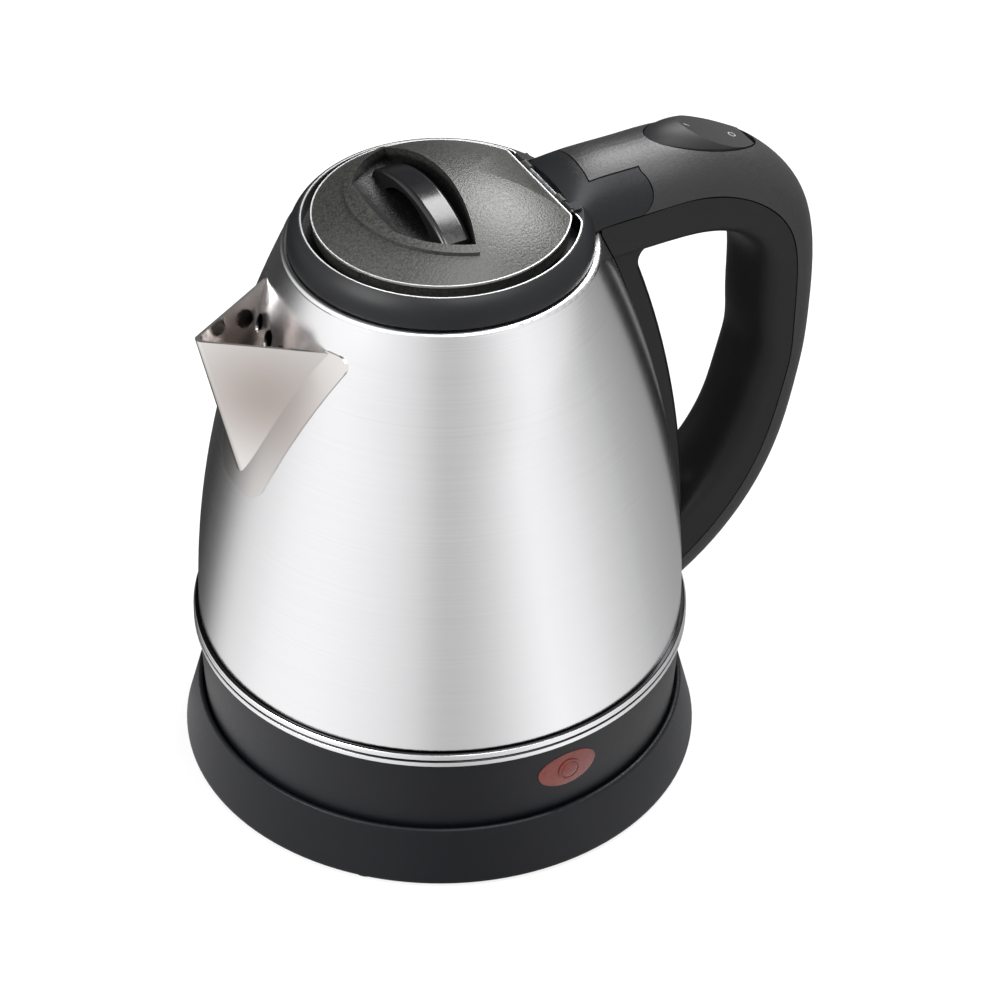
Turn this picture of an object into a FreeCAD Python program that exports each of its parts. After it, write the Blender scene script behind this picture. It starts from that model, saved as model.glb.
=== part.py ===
import FreeCAD
import Part
import os
from math import cos, hypot, pi, radians, sin, sqrt, tan

# A cordless electric kettle on its round power base, in millimetres and degrees.
# Z is up through the middle of the base, the handle points to +X and the spout to -X.
# The origin is the middle of the plane that the base stands on.

# Clearances
running_gap = 0.3         # between pieces that move past each other
seam_gap = 0.4            # open line between two mouldings
insert_gap = 0.05         # round a piece that is fixed in its seat
pin_gap = 0.06            # radial play of a knuckle or lever on its pin

# Power base
base_radius = 80.0
base_height = 19.0
base_taper = 4.4          # the side leans in this far from its foot to its rim
base_band = 1.2           # upright band at the bottom of the side
base_wall = 2.4
base_edge = 0.5           # broken edges of the rim and the foot
base_rim = 1.5            # top of the side, from the dish outwards
dish_depth = 4.0          # the kettle stands in a dish this deep
dish_play = 0.7           # radial gap between the dish and the kettle
foot_height = 0.8
foot_radius = 4.6
foot_inset = 5.4          # middle of a foot inside the edge of the base
foot_count = 4
foot_turn = 45.0
bottom_wall = 2.0
hub_cup_radius = 30.0     # round hub under the base that the flex winds round
groove_inset = 24.0       # outside of the winding groove, inside the edge of the base
groove_roof = 7.5         # underside of the groove
base_post_radius = 4.0
base_screw_inset = 13.5   # inside the edge of the base
base_screw_turn = 20.0
base_screw_length = 8.5
gland_bore = 2.9
gland_wall = 1.0
gland_nose = 1.0          # stands out from the side of the base
gland_flange_width = 14.0
gland_flange_depth = 2.2

# Round connector between base and kettle
hub_radius = 19.5
hub_height = 10.0         # above the floor of the dish
hub_flange = 4.5
hub_flange_thickness = 2.0
slot_depth = 11.0
slot_gap = 0.6            # between a blade and the walls of its slot
contact_sheet = 0.65
pin_blade_radius = 1.9
ring_blades = ((7.6, 8.8), (13.0, 14.3))
blade_clearance = 1.5     # below the tip of a blade
socket_wall = 1.9
socket_roof = 2.6
socket_play = 0.6

# Kettle bottom
skirt_lean = 1.6          # the side leans out this far from its foot to its top
skirt_step = 0.4          # top of the skirt outside the body's wall
skirt_wall = 2.2
skirt_height = 29.2
skirt_recess = 2.8        # underside of the floor above the foot ring
seat_gap = 0.2            # between the foot ring and the dish
stud_inset = 10.6         # middle of a stud inside the body's wall
stud_radius = 3.2
stud_length = 10.6
stud_count = 3
stud_turn = 60.0
skirt_post_radius = 4.4
skirt_screw_length = 24.0
wire_port_radius = 5.5

# Indicator window in the skirt
window_turn = 3.0         # from -Y towards the handle
window_lift = 18.8        # middle of the window above the foot ring
window_half_width = 10.0
window_half_height = 6.0
window_bulge = 0.9
window_dome = 40.0
window_flange = 2.0
window_flange_thickness = 1.5
lamp_radius = 3.4
lamp_length = 5.0
lamp_clip = 1.6

# Steel body: one arc, upright at its foot
body_height = 130.0
body_sheet = 0.8
bead_out = 1.7            # crest of a roll outside the wall
bead_roll = 2.5           # height of each of the two rolls
bead_valley_out = 0.8     # and the line between the two rolls
shoulder_roll = 1.4       # rounded top edge under the collar
neck_radius = 43.0
shoulder_width = 3.8      # top of the wall outside the neck
neck_height = 5.0
pour_hole_radius = 2.6
pour_hole_pitch = 8.6
pour_hole_rows = (1, 2, 3, 4)
pour_hole_low = 86.0      # lowest row above the body's foot

# Heater
plate_drop = 0.4          # plate below the body's foot line
plate_sheet = 1.0
plate_flange = 3.2
diffuser_inset = 8.0      # inside the circle of the studs
diffuser_thickness = 3.0
element_inset = 14.0      # middle of the element inside the edge of the diffuser
element_width = 7.0
element_height = 7.0
element_sweep = 300.0
terminal_radius = 1.6
terminal_length = 6.0
terminal_turn = 4.0       # from the ends of the element
control_radius = 22.0
control_height = 12.7
control_leg_radius = 2.6
control_leg_circle = 17.0
control_leg_count = 3
control_leg_turn = 90.0
bimetal_radius = 6.0
bimetal_sheet = 0.6
bimetal_offset = 9.0
bimetal_seat = 7.0
bimetal_gap = 0.6

# Spout
spout_reach = 33.6        # tip outside the top of the wall
spout_rim = 122.8         # tip above the body's foot
spout_rim_drop = 2.2      # rim sinks this much towards the body
spout_half_mouth = 21.7
spout_low = 70.0          # keel meets the body, above the body's foot
spout_low_out = 0.5       # keel outside the body there
spout_low_reach = 10.0    # the lowest section runs this far into the body
spout_low_half = 17.8     # and is this wide there to each side
spout_keel_round = 3.0
spout_sheet = 0.8
flange_sheet = 0.6
flange_side = 6.9         # flange beyond the corners of the mouth
flange_rise = 0.4
flange_low_half = 11.2
flange_low = 67.0         # lower edge of the flange above the body's foot
flange_low_round = 7.5
flange_top_round = 3.5

# Collar and lid
collar_lift = 2.0         # lower edge above the top of the body
collar_step = 1.8         # foot of the collar outside the neck
collar_height = 8.2
collar_belly = 0.9        # bulge of the outside
collar_lip = 0.4          # flat edge outside the trim
belly_height = 0.6        # share of the height where the bulge is measured
belly_reach = 0.55        # share of the width there
opening_inset = 2.6       # opening for the lid inside the neck
opening_flat = 5.6        # depth of its flat side
opening_corner = 6.0
seat_lift = 2.6           # lid ledge above the collar's lower edge
seat_width = 6.0          # ledge round the opening
seat_flat_width = 5.6     # and along its flat side
seat_thickness = 2.4
sleeve_wall = 2.2
sleeve_drop = 8.0
seal_height = 1.2
trim_width = 0.45
trim_height = 0.6
vent_width = 10.0
vent_height = 2.4
lid_groove = 3.1          # open groove round the lid
lid_flat_groove = 2.8     # and along its flat side
lid_corner = 4.5
lid_lift = 12.0           # lid rim above the top of the body
lid_skirt = 4.6           # side of the lid below its rim
lid_dome = 64.0
lid_roll_lean = 9.0       # where the dome starts to roll off towards the chord
lid_wall = 2.2
lid_trim_width = 0.4
lid_trim_height = 0.7
eye_tip = -3.7            # recess in the lid: its two tips lie on this line
eye_margin = 9.3          # tips inside the edge of the lid
eye_front = 21.5          # bulge towards the spout
eye_back = 4.8            # bulge towards the handle
eye_rim = 2.4
eye_rise = 1.1
bowl_floor = 2.6          # floor of the recess above the rim of the lid
bowl_radius = 15.0
bowl_base = 1.8
grip_front = -11.0
grip_thickness = 9.2
grip_end_gap = 6.0        # ends of the grip inside the tips of the recess
grip_end = 4.6            # ends of the grip above the lid's rim
grip_crown = 10.6
grip_gap_half = 14.0
grip_gap_height = 5.6
plug_play = 2.0           # inside the ledge
plug_depth = 10.5
plug_wall = 1.6
plug_flange = 3.5
plug_flange_thickness = 1.4
lid_seal_height = 1.3
lid_seal_width = 3.0
lid_screw_inset = 10.8    # inside the plug
lid_screw_count = 4
lid_screw_turn = 45.0
lid_post_radius = 3.0
lid_screw_length = 7.0
hinge_inset = 1.0         # pin inside the flat side of the opening
hinge_drop = 0.8          # pin below the rim of the lid
hinge_pin_radius = 0.6
knuckle_radius = 1.2
lug_radius = 1.0
knuckle_span = (8.0, 12.0)
lug_span = (12.6, 16.4)
lug_root = 2.0

# Handle: each station gives the crown and the inner line of one section, outside the body's wall.
# Heights over neck and bridge are measured from the top of the bridge, the others from the body's foot.
bridge_lift = 17.0        # top of the bridge above the top of the body
handle_wall = 2.4
crown_fullness = 0.5523   # quarter ellipse
grip_fullness = 0.66      # rounder under the fingers
root_fullness = 1.05      # squarer where the handle meets the kettle
neck_stations = (
    # outside the top of the wall, crown below the bridge top, half width
    (-11.4, 4.2, 20.0),
    (-5.8, 1.2, 17.6),
    (1.2, 0.0, 16.6),
)
bridge_depth = 30.0
parting_share = 0.497     # parting line, from the inner line towards the crown
bridge_stations = (
    # crown outside the top of the wall and below the bridge top, inner line likewise,
    # half width, how far the section is grip and not root
    (15.2, 0.0, 13.2, 30.0, 16.4, 0.0),
    (30.7, 0.2, 28.7, 30.3, 16.2, 0.0),
    (49.8, 5.8, 39.7, 33.2, 16.0, 0.3),
    (64.4, 16.6, 48.5, 38.0, 16.0, 0.6),
    (74.4, 30.4, 54.5, 46.0, 15.8, 0.9),
)
grip_stations = (
    # crown outside the wall, its height as a share of the wall's, inner line likewise,
    # half width, how far the section is grip and not root
    (66.2, 0.746, 43.6, 0.692, 15.6, 1.0),
    (60.2, 0.577, 37.6, 0.562, 15.4, 1.0),
    (56.3, 0.477, 35.1, 0.481, 15.3, 1.0),
    (51.9, 0.374, 30.5, 0.408, 15.2, 1.0),
    (44.4, 0.209, 22.8, 0.285, 15.0, 1.0),
    (33.9, 0.052, 13.8, 0.173, 14.8, 0.6),
    (20.8, -0.070, 4.9, 0.092, 14.6, 0.1),
    (4.7, -0.163, -4.6, 0.023, 14.2, 0.0),
    (-11.6, -0.228, -16.6, -0.031, 14.0, 0.0),
)
strip_depth = 5.2
strip_half_width = 12.6
strip_edge = 1.2
strip_corner = 5.0
strip_low = 4.0           # lower end, above the body's foot
cheek_low = 10.7          # end of the collar's neck at the parting line, outside the top of the wall
cheek_bulge = (15.0, 5.6) # and further up, with the height above the parting line
cheek_high = (13.2, 11.6)
tongue_start = -3.0       # outside the top of the wall
tongue_half_width = 9.1
tongue_thickness = 2.4
neck_floor = 2.0
bracket_heights = (22.0, 96.0)
bracket_half_width = 9.0
bracket_half_height = 7.0
bracket_sheet = 1.2
bracket_boss_radius = 3.2
handle_screw_length = 4.6
neck_screw_out = 8.0      # outside the top of the wall
neck_screw_y = 5.4
neck_post_radius = 2.8
neck_screw_length = 11.0

# Rocker switch on the bridge
rocker_out = 39.5         # middle of the outline outside the top of the wall
rocker_drop = 6.55        # and below the bridge top
rocker_tilt = 19.8
rocker_length = 38.6
rocker_width = 19.0
rocker_ridge = (-9.5, 5.3)
rocker_dish = (2.0, 3.2)
rocker_toe = (16.7, 2.3)
rocker_heel = 0.8
rocker_dome_middle = (2.0, -3.0)
rocker_dome_half = (22.2, 11.2)   # along and across; its height follows from the ridge
rocker_under = -4.5
rocker_skin = 2.0         # above the bore for the pin
rocker_pin_radius = 1.1
rocker_pin_level = -1.6
lug_thickness = 2.6
lug_half_length = 3.2
lug_drop = 3.0            # below the pin
finger_radius = 1.3
finger_level = -9.6
finger_half_width = 2.0
lever_level = -17.6
lever_hub_radius = 3.0
lever_half_width = 2.6
lever_pin_radius = 1.0
fork_wall = 1.8
fork_gap = 0.6
lever_room = 2.4          # beside the fork for its swing
unit_out = 23.2           # back of the switch outside the top of the wall
unit_length = 22.0
unit_half_width = 8.5
unit_drop = 14.4          # below the bridge top
steam_disc_radius = 5.5
steam_disc_drop = 20.9
wire_radius = 1.2
wire_spacing = 2.6
wire_exit = 9.0           # below the top of the switch
wire_lead = 3.0           # outside the port in the skirt
wire_entry = 0.3          # share of the control's height
bend_share = 0.45         # of the shorter run beside a bend

screw_head_radius = 2.9
screw_head_height = 1.7
screw_radius = 1.45

# Heights and radii that follow from the sizes above
V = FreeCAD.Vector
origin = V(0, 0, 0)
along_x = V(1, 0, 0)
along_y = V(0, 1, 0)
upright = V(0, 0, 1)
far = 250.0               # beyond every face
overlap = 1.0             # cutting shapes run this far past the faces they cut

base_band_top = foot_height + base_band
dish_floor = base_height - dish_depth
dish_radius = base_radius - base_taper - base_rim
foot_circle = base_radius - foot_inset
groove_radius = base_radius - groove_inset
base_screw_circle = base_radius - base_screw_inset
base_ceiling = dish_floor - base_wall
bottom_top = foot_height + bottom_wall
gland_height = (bottom_top + base_ceiling) / 2
hub_top = dish_floor + hub_height
skirt_foot_radius = dish_radius - dish_play
skirt_top_radius = skirt_foot_radius + skirt_lean
skirt_bottom = dish_floor + seat_gap
skirt_under = skirt_bottom + skirt_recess
skirt_floor = skirt_under + skirt_wall
skirt_top = skirt_bottom + skirt_height
window_height = skirt_bottom + window_lift
bead_bottom = skirt_top
body_foot = bead_bottom + 2 * bead_roll
body_top = body_foot + body_height
body_foot_radius = skirt_top_radius - skirt_step
body_top_radius = neck_radius + shoulder_width
body_narrowing = body_foot_radius - body_top_radius
body_arc = (body_narrowing ** 2 + body_height ** 2) / (2 * body_narrowing)
bead_radius = body_foot_radius + bead_out
bead_valley = body_foot_radius + bead_valley_out
spout_tip = -body_top_radius - spout_reach
stud_circle = body_foot_radius - stud_inset
diffuser_radius = stud_circle - diffuser_inset
element_radius = diffuser_radius - element_inset
socket_ceiling = hub_top + running_gap
socket_top = socket_ceiling + socket_roof
socket_inner = hub_radius + socket_play
socket_outer = socket_inner + socket_wall
plate_top = body_foot - plate_drop
plate_under = plate_top - plate_sheet
diffuser_under = plate_under - diffuser_thickness
control_under = socket_top + running_gap
control_top = control_under + control_height
collar_radius = neck_radius + collar_step
opening_radius = neck_radius - opening_inset
opening_chord = opening_radius - opening_flat
seat_radius = opening_radius - seat_width
seat_chord = opening_chord - seat_flat_width
lid_radius = opening_radius - lid_groove
lid_chord = opening_chord - lid_flat_groove
eye_half_length = lid_radius - eye_margin
grip_half_length = eye_half_length - grip_end_gap
plug_radius = seat_radius - plug_play
plug_chord = seat_chord - plug_play
lid_screw_circle = plug_radius - lid_screw_inset
hinge_x = opening_chord - hinge_inset
collar_low = body_top + collar_lift
collar_top = collar_low + collar_height
seat_top = collar_low + seat_lift
lid_rim = body_top + lid_lift
hinge_z = lid_rim - hinge_drop
bridge_top = body_top + bridge_lift
bridge_under = bridge_top - bridge_depth
bridge_parting = bridge_under + bridge_depth * parting_share
neck_floor_top = bridge_parting + seam_gap / 2 + neck_floor
neck_screw_x = body_top_radius + neck_screw_out
unit_back = body_top_radius + unit_out
unit_front = unit_back + unit_length
unit_top = bridge_top - unit_drop
steam_disc_level = bridge_top - steam_disc_drop
rocker_mid = V(body_top_radius + rocker_out, 0, bridge_top - rocker_drop)


def wire_xz(path):
    """Closed outline in the XZ plane; a step (mx, mz, x, z) is an arc through (mx, mz)."""
    corners = [V(step[-2], 0, step[-1]) for step in path]
    edges = []
    for index, step in enumerate(path):
        start = corners[index - 1]
        end = corners[index]
        if len(step) == 4:
            edges.append(Part.Arc(start, V(step[0], 0, step[1]), end).toShape())
        else:
            edges.append(Part.LineSegment(start, end).toShape())
    return Part.Wire(edges)


def turned(path):
    """Solid of revolution of an outline given as radius and height."""
    return Part.Face(wire_xz(path)).revolve(origin, upright, 360)


def prism_y(path, half_width):
    """Outline in the XZ plane, extruded both ways along Y."""
    face = Part.Face(wire_xz(path))
    face.translate(V(0, -half_width, 0))
    return face.extrude(V(0, 2 * half_width, 0))


def rod(radius, start, end):
    return Part.makeCylinder(radius, (end - start).Length, start, end - start)


def ring(outer, inner, low, high):
    solid = rod(outer, V(0, 0, low), V(0, 0, high))
    return solid.cut(rod(inner, V(0, 0, low), V(0, 0, high)))


def block(low, high):
    return Part.makeBox(high[0] - low[0], high[1] - low[1], high[2] - low[2], V(*low))


def both_sides(span, low, high):
    """Two blocks, one each side of Y = 0, between the given distances from it."""
    near = block((low[0], -span[1], low[1]), (high[0], -span[0], high[1]))
    away = block((low[0], span[0], low[1]), (high[0], span[1], high[1]))
    return near.fuse(away)


def on_circle(count, radius, turn):
    angles = [radians(turn + 360.0 * step / count) for step in range(count)]
    return [(radius * cos(angle), radius * sin(angle)) for angle in angles]


def screw(head, direction, length, grow=0.0):
    """Countersunk screw whose flat head is at the point head; its seat, if grown, is open past the head."""
    wide = screw_head_radius + grow
    slim = screw_radius + grow
    top = [(0, -overlap), (wide, -overlap), (wide, 0)] if grow > 0 else [(0, 0), (wide, 0)]
    solid = turned(top + [(slim, screw_head_height), (slim, length + grow), (0, length + grow)])
    solid.Placement = FreeCAD.Placement(head, FreeCAD.Rotation(upright, V(direction)))
    return solid


def rounded_d(radius, chord, corner, low, high):
    """Round prism with one flat side at X = chord and rounded corners."""
    disc = rod(radius, V(0, 0, low), V(0, 0, high))
    shape = disc.common(block((-radius, -radius, low), (chord, radius, high)))
    corners = [edge for edge in shape.Edges
               if abs(edge.CenterOfMass.x - chord) < 1e-4 and abs(edge.CenterOfMass.y) > 1.0
               and abs(edge.BoundBox.ZLength - (high - low)) < 1e-4]
    return shape.makeFillet(corner, corners)


def body_radius(z, offset=0.0):
    """Outer radius of the steel wall at a height, offset outwards."""
    return body_foot_radius - body_arc + sqrt((body_arc + offset) ** 2 - (z - body_foot) ** 2)


def wall_beside(height):
    """Radius of the wall at a height above its foot, level below the foot and above the top."""
    return body_radius(body_foot + min(max(height, 0), body_height))


def body_solid(offset, low, high):
    """Inside of the body's wall as one solid, its surface offset outwards."""
    middle = (low + high) / 2
    path = [(0, low), (body_radius(low, offset), low),
            (body_radius(middle, offset), middle, body_radius(high, offset), high), (0, high)]
    return turned(path)


def base_side(z):
    """Outer radius of the base's leaning side."""
    return base_radius - base_taper * max(0, z - base_band_top) / (base_height - base_band_top)


def skirt_radius(z, offset=0.0):
    lean = (skirt_top_radius - skirt_foot_radius) / skirt_height
    return skirt_foot_radius + lean * (z - skirt_bottom) + offset


def skirt_solid(offset):
    path = [(0, skirt_bottom), (skirt_radius(skirt_bottom, offset), skirt_bottom),
            (skirt_radius(skirt_top, offset), skirt_top), (0, skirt_top)]
    return turned(path)


def kettle_envelope(gap):
    """Everything inside the outer faces of skirt, bead and body, grown by a gap."""
    low_bead = bead_bottom - gap
    high_bead = body_foot + gap
    bead = rod(bead_radius + gap, V(0, 0, low_bead), V(0, 0, high_bead))
    shoulder_top = V(0, 0, body_top + shoulder_roll + gap)
    shoulder = rod(body_radius(body_top, gap), V(0, 0, body_top - overlap), shoulder_top)
    return skirt_solid(gap).fuse([bead, body_solid(gap, body_foot, body_top), shoulder])


def base_screw(x, y, grow=0.0):
    return screw(V(x, y, foot_height), upright, base_screw_length, grow)


def gland_bar(radius):
    """Bar along the flex inlet, from inside the base to its nose."""
    start = V(base_side(gland_height) - base_wall - 3 * gland_flange_depth, 0, gland_height)
    return rod(radius, start, V(base_radius + gland_nose, 0, gland_height))


def make_base_top_cover():
    shoulder = base_height - 2 * base_edge
    path = [(base_radius, base_band_top), (base_side(shoulder), shoulder),
            (base_side(base_height) - base_edge / 4, base_height - base_edge / 2,
             dish_radius + base_edge, base_height),
            (dish_radius, base_height - base_edge), (dish_radius, dish_floor),
            (hub_radius + insert_gap, dish_floor), (hub_radius + insert_gap, base_ceiling),
            (base_side(base_ceiling) - base_wall, base_ceiling), (base_radius - base_wall, base_band_top)]
    cover = turned(path)
    for x, y in on_circle(foot_count, base_screw_circle, base_screw_turn):
        cover = cover.fuse(rod(base_post_radius, V(x, y, bottom_top), V(x, y, base_ceiling)))
        cover = cover.cut(base_screw(x, y, insert_gap))
    return cover.cut(gland_bar(gland_bore + gland_wall + insert_gap)).removeSplitter()


def make_base_bottom_cover():
    step = base_radius - base_wall - seam_gap
    path = [(0, 0), (hub_cup_radius, 0), (hub_cup_radius, groove_roof), (groove_radius, groove_roof),
            (groove_radius, foot_height), (base_radius - base_edge, foot_height),
            (base_radius, foot_height + base_edge), (base_radius, base_band_top), (step, base_band_top),
            (step, bottom_top), (groove_radius + bottom_wall, bottom_top),
            (groove_radius + bottom_wall, groove_roof + bottom_wall),
            (hub_cup_radius - bottom_wall, groove_roof + bottom_wall),
            (hub_cup_radius - bottom_wall, bottom_wall), (0, bottom_wall)]
    cover = turned(path)
    for x, y in on_circle(foot_count, base_screw_circle, base_screw_turn):
        cover = cover.cut(base_screw(x, y, insert_gap))
    return cover


def make_base_feet():
    feet = []
    for x, y in on_circle(foot_count, foot_circle, foot_turn):
        pad = rod(foot_radius, V(x, y, 0), V(x, y, foot_height))
        rim = [edge for edge in pad.Edges if edge.BoundBox.ZMax < 1e-6]
        feet.append(pad.makeChamfer(foot_height / 4, rim))
    return Part.Compound(feet)


def make_base_screws():
    places = on_circle(foot_count, base_screw_circle, base_screw_turn)
    return Part.Compound([base_screw(x, y) for x, y in places])


def make_cord_gland():
    inside = base_side(base_ceiling) - base_wall - gland_wall
    start = inside - gland_flange_depth
    half = gland_flange_width / 2
    flange = block((start, -half, bottom_top + insert_gap), (inside, half, base_ceiling - insert_gap))
    nose = gland_bar(gland_bore + gland_wall).common(block((start, -half, 0), (far, half, base_height)))
    return flange.fuse(nose).cut(gland_bar(gland_bore)).removeSplitter()


def slot_ring(span):
    return ring(span[1] + slot_gap + contact_sheet, span[0] - slot_gap, hub_top - slot_depth, hub_top)


def pin_slot():
    low = V(0, 0, hub_top - slot_depth)
    return rod(pin_blade_radius + slot_gap + contact_sheet, low, V(0, 0, hub_top))


def make_base_connector():
    hub = rod(hub_radius, V(0, 0, bottom_wall), V(0, 0, hub_top))
    rim = [edge for edge in hub.Edges if edge.BoundBox.ZMin > hub_top - 1e-6]
    hub = hub.makeChamfer(base_edge, rim)
    flange_under = base_ceiling - hub_flange_thickness
    flange = ring(hub_radius + hub_flange, hub_radius - overlap, flange_under, base_ceiling)
    hub = hub.fuse(flange).cut(pin_slot())
    for span in ring_blades:
        hub = hub.cut(slot_ring(span))
    return hub.removeSplitter()


def make_base_contacts():
    low = hub_top - slot_depth
    high = hub_top - base_edge
    spans = [pin_blade_radius + slot_gap] + [span[1] + slot_gap for span in ring_blades]
    return Part.Compound([ring(inner + contact_sheet, inner, low, high) for inner in spans])


def blade_solids():
    low = hub_top - slot_depth + blade_clearance
    high = socket_top - socket_roof / 2
    pin = rod(pin_blade_radius, V(0, 0, low), V(0, 0, high))
    return [pin] + [ring(span[1], span[0], low, high) for span in ring_blades]


def make_kettle_socket():
    cup = ring(socket_outer, socket_inner, skirt_under, socket_ceiling)
    roof = rod(socket_outer, V(0, 0, socket_ceiling), V(0, 0, socket_top))
    return cup.fuse(roof).cut(blade_solids()).removeSplitter()


def make_socket_contacts():
    return Part.Compound(blade_solids())


def skirt_screw(x, y, grow=0.0):
    return screw(V(x, y, skirt_under), upright, skirt_screw_length, grow)


def stud_places():
    return on_circle(stud_count, stud_circle, stud_turn)


def window_prism(grow=0.0):
    """Oval prism pointing out of the skirt at the indicator window."""
    oval = Part.Ellipse(origin, window_half_width + grow, window_half_height + grow)
    face = Part.Face(Part.Wire([oval.toShape()]))
    face.rotate(origin, along_x, 90)
    face.translate(V(0, -body_foot_radius / 2, window_height))
    solid = face.extrude(V(0, -body_foot_radius, 0))
    solid.rotate(origin, upright, window_turn)
    return solid


def window_point(reach):
    angle = radians(window_turn)
    return V(reach * sin(angle), -reach * cos(angle), window_height)


def make_skirt():
    outside = skirt_radius(skirt_bottom)
    hole = socket_outer + running_gap
    path = [(outside, skirt_bottom), (skirt_top_radius, skirt_top),
            (skirt_top_radius - skirt_wall, skirt_top),
            (skirt_radius(skirt_floor, -skirt_wall), skirt_floor), (hole, skirt_floor),
            (hole, skirt_under), (skirt_radius(skirt_under, -skirt_wall), skirt_under),
            (skirt_radius(skirt_bottom, -skirt_wall), skirt_bottom)]
    skirt = turned(path)
    for x, y in stud_places():
        skirt = skirt.fuse(rod(skirt_post_radius, V(x, y, skirt_floor), V(x, y, plate_under - stud_length)))
        skirt = skirt.cut(skirt_screw(x, y, insert_gap))
    port = V(skirt_foot_radius - 2 * skirt_wall, 0, window_height)
    skirt = skirt.cut(rod(wire_port_radius, port, port + along_x * 4 * skirt_wall))
    return skirt.cut(window_prism(insert_gap)).removeSplitter()


def make_skirt_screws():
    return Part.Compound([skirt_screw(x, y) for x, y in stud_places()])


def make_indicator_lens():
    dome_middle = window_point(skirt_radius(window_height) + window_bulge - window_dome)
    back = skirt_solid(-skirt_wall - window_flange_thickness)
    dome = Part.makeSphere(window_dome, dome_middle)
    plug = window_prism().common(dome).cut(back)
    flange = window_prism(window_flange).common(skirt_solid(-skirt_wall)).cut(back)
    return plug.fuse(flange).removeSplitter()


def lamp_back():
    return skirt_radius(window_height) - skirt_wall - window_flange_thickness - 2 * insert_gap - lamp_length


def make_indicator_lamp():
    back = lamp_back()
    shoulder = back + lamp_length - lamp_radius
    barrel = rod(lamp_radius, window_point(back), window_point(shoulder))
    return barrel.fuse(Part.makeSphere(lamp_radius, window_point(shoulder))).removeSplitter()


def make_lamp_clip():
    start = window_point(lamp_back())
    end = window_point(lamp_back() + lamp_clip)
    eye = rod(lamp_radius + lamp_clip, start, end)
    leg = block((-lamp_radius, -lamp_back() - lamp_clip, skirt_floor),
                (lamp_radius, -lamp_back(), window_height))
    leg.rotate(origin, upright, window_turn)
    return eye.fuse(leg).cut(rod(lamp_radius + insert_gap, window_point(0), end)).removeSplitter()


def make_body_shell():
    valley = bead_bottom + bead_roll
    crest = bead_roll / 2
    top_radius = body_radius(body_top)
    middle = (body_foot + body_top) / 2
    roll = shoulder_roll * (1 - sqrt(0.5))
    shoulder = body_top + shoulder_roll
    neck_top = shoulder + neck_height - body_sheet
    inner_top = body_radius(body_top, -body_sheet)
    path = [(body_foot_radius - body_sheet, bead_bottom), (bead_valley, bead_bottom),
            (bead_radius, bead_bottom + crest, bead_valley, valley),
            (bead_radius, valley + crest, bead_valley, body_foot), (body_foot_radius, body_foot),
            (body_radius(middle), middle, top_radius, body_top),
            (top_radius - roll, shoulder - roll, top_radius - shoulder_roll, shoulder),
            (neck_radius, shoulder), (neck_radius, neck_top), (neck_radius - body_sheet, neck_top),
            (neck_radius - body_sheet, shoulder - body_sheet),
            (inner_top - shoulder_roll, shoulder - body_sheet), (inner_top, body_top),
            (body_radius(middle, -body_sheet), middle, body_foot_radius - body_sheet, body_foot)]
    shell = turned(path)
    for row, count in enumerate(pour_hole_rows):
        height = body_foot + pour_hole_low + row * pour_hole_pitch
        for step in range(count):
            side = (step - (count - 1) / 2) * pour_hole_pitch
            outside = V(-body_foot_radius, side, height)
            shell = shell.cut(rod(pour_hole_radius, outside, V(-neck_radius / 2, side, height)))
    return shell


def make_heater_plate():
    outside = body_foot_radius - body_sheet - insert_gap
    flange_low = plate_top - plate_flange
    path = [(0, plate_top), (outside, plate_top), (outside, flange_low), (outside - plate_sheet, flange_low),
            (outside - plate_sheet, plate_under), (0, plate_under)]
    return turned(path)


def make_plate_studs():
    studs = []
    for x, y in stud_places():
        stud = rod(stud_radius, V(x, y, plate_under - stud_length), V(x, y, plate_under))
        studs.append(stud.cut(skirt_screw(x, y, insert_gap)))
    return Part.Compound(studs)


def make_heat_diffuser():
    return rod(diffuser_radius, V(0, 0, diffuser_under), V(0, 0, plate_under))


def make_heating_element():
    half = element_width / 2
    low = diffuser_under - element_height
    path = [(element_radius + half, diffuser_under), (element_radius - half, diffuser_under),
            (element_radius - half, low + half), (element_radius, low, element_radius + half, low + half)]
    start = 180 + (360 - element_sweep) / 2
    face = Part.Face(wire_xz(path))
    face.rotate(origin, upright, start)
    tube = face.revolve(origin, upright, element_sweep)
    for end in (start + terminal_turn, start + element_sweep - terminal_turn):
        x = element_radius * cos(radians(end))
        y = element_radius * sin(radians(end))
        tube = tube.fuse(rod(terminal_radius, V(x, y, low - terminal_length), V(x, y, low + half)))
    return tube.removeSplitter()


def bimetal_places():
    return [V(-bimetal_offset, 0, 0), V(bimetal_offset, 0, 0)]


def make_thermostat_control():
    control = rod(control_radius, V(0, 0, control_under), V(0, 0, control_top))
    for x, y in on_circle(control_leg_count, control_leg_circle, control_leg_turn):
        control = control.fuse(rod(control_leg_radius, V(x, y, control_under), V(x, y, diffuser_under)))
    seat = diffuser_under - bimetal_gap - bimetal_sheet
    for place in bimetal_places():
        control = control.fuse(rod(bimetal_seat, place + upright * control_under, place + upright * seat))
    return control.removeSplitter()


def make_control_bimetals():
    top = diffuser_under - bimetal_gap
    discs = [rod(bimetal_radius, place + upright * (top - bimetal_sheet), place + upright * top)
             for place in bimetal_places()]
    return Part.Compound(discs)


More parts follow.
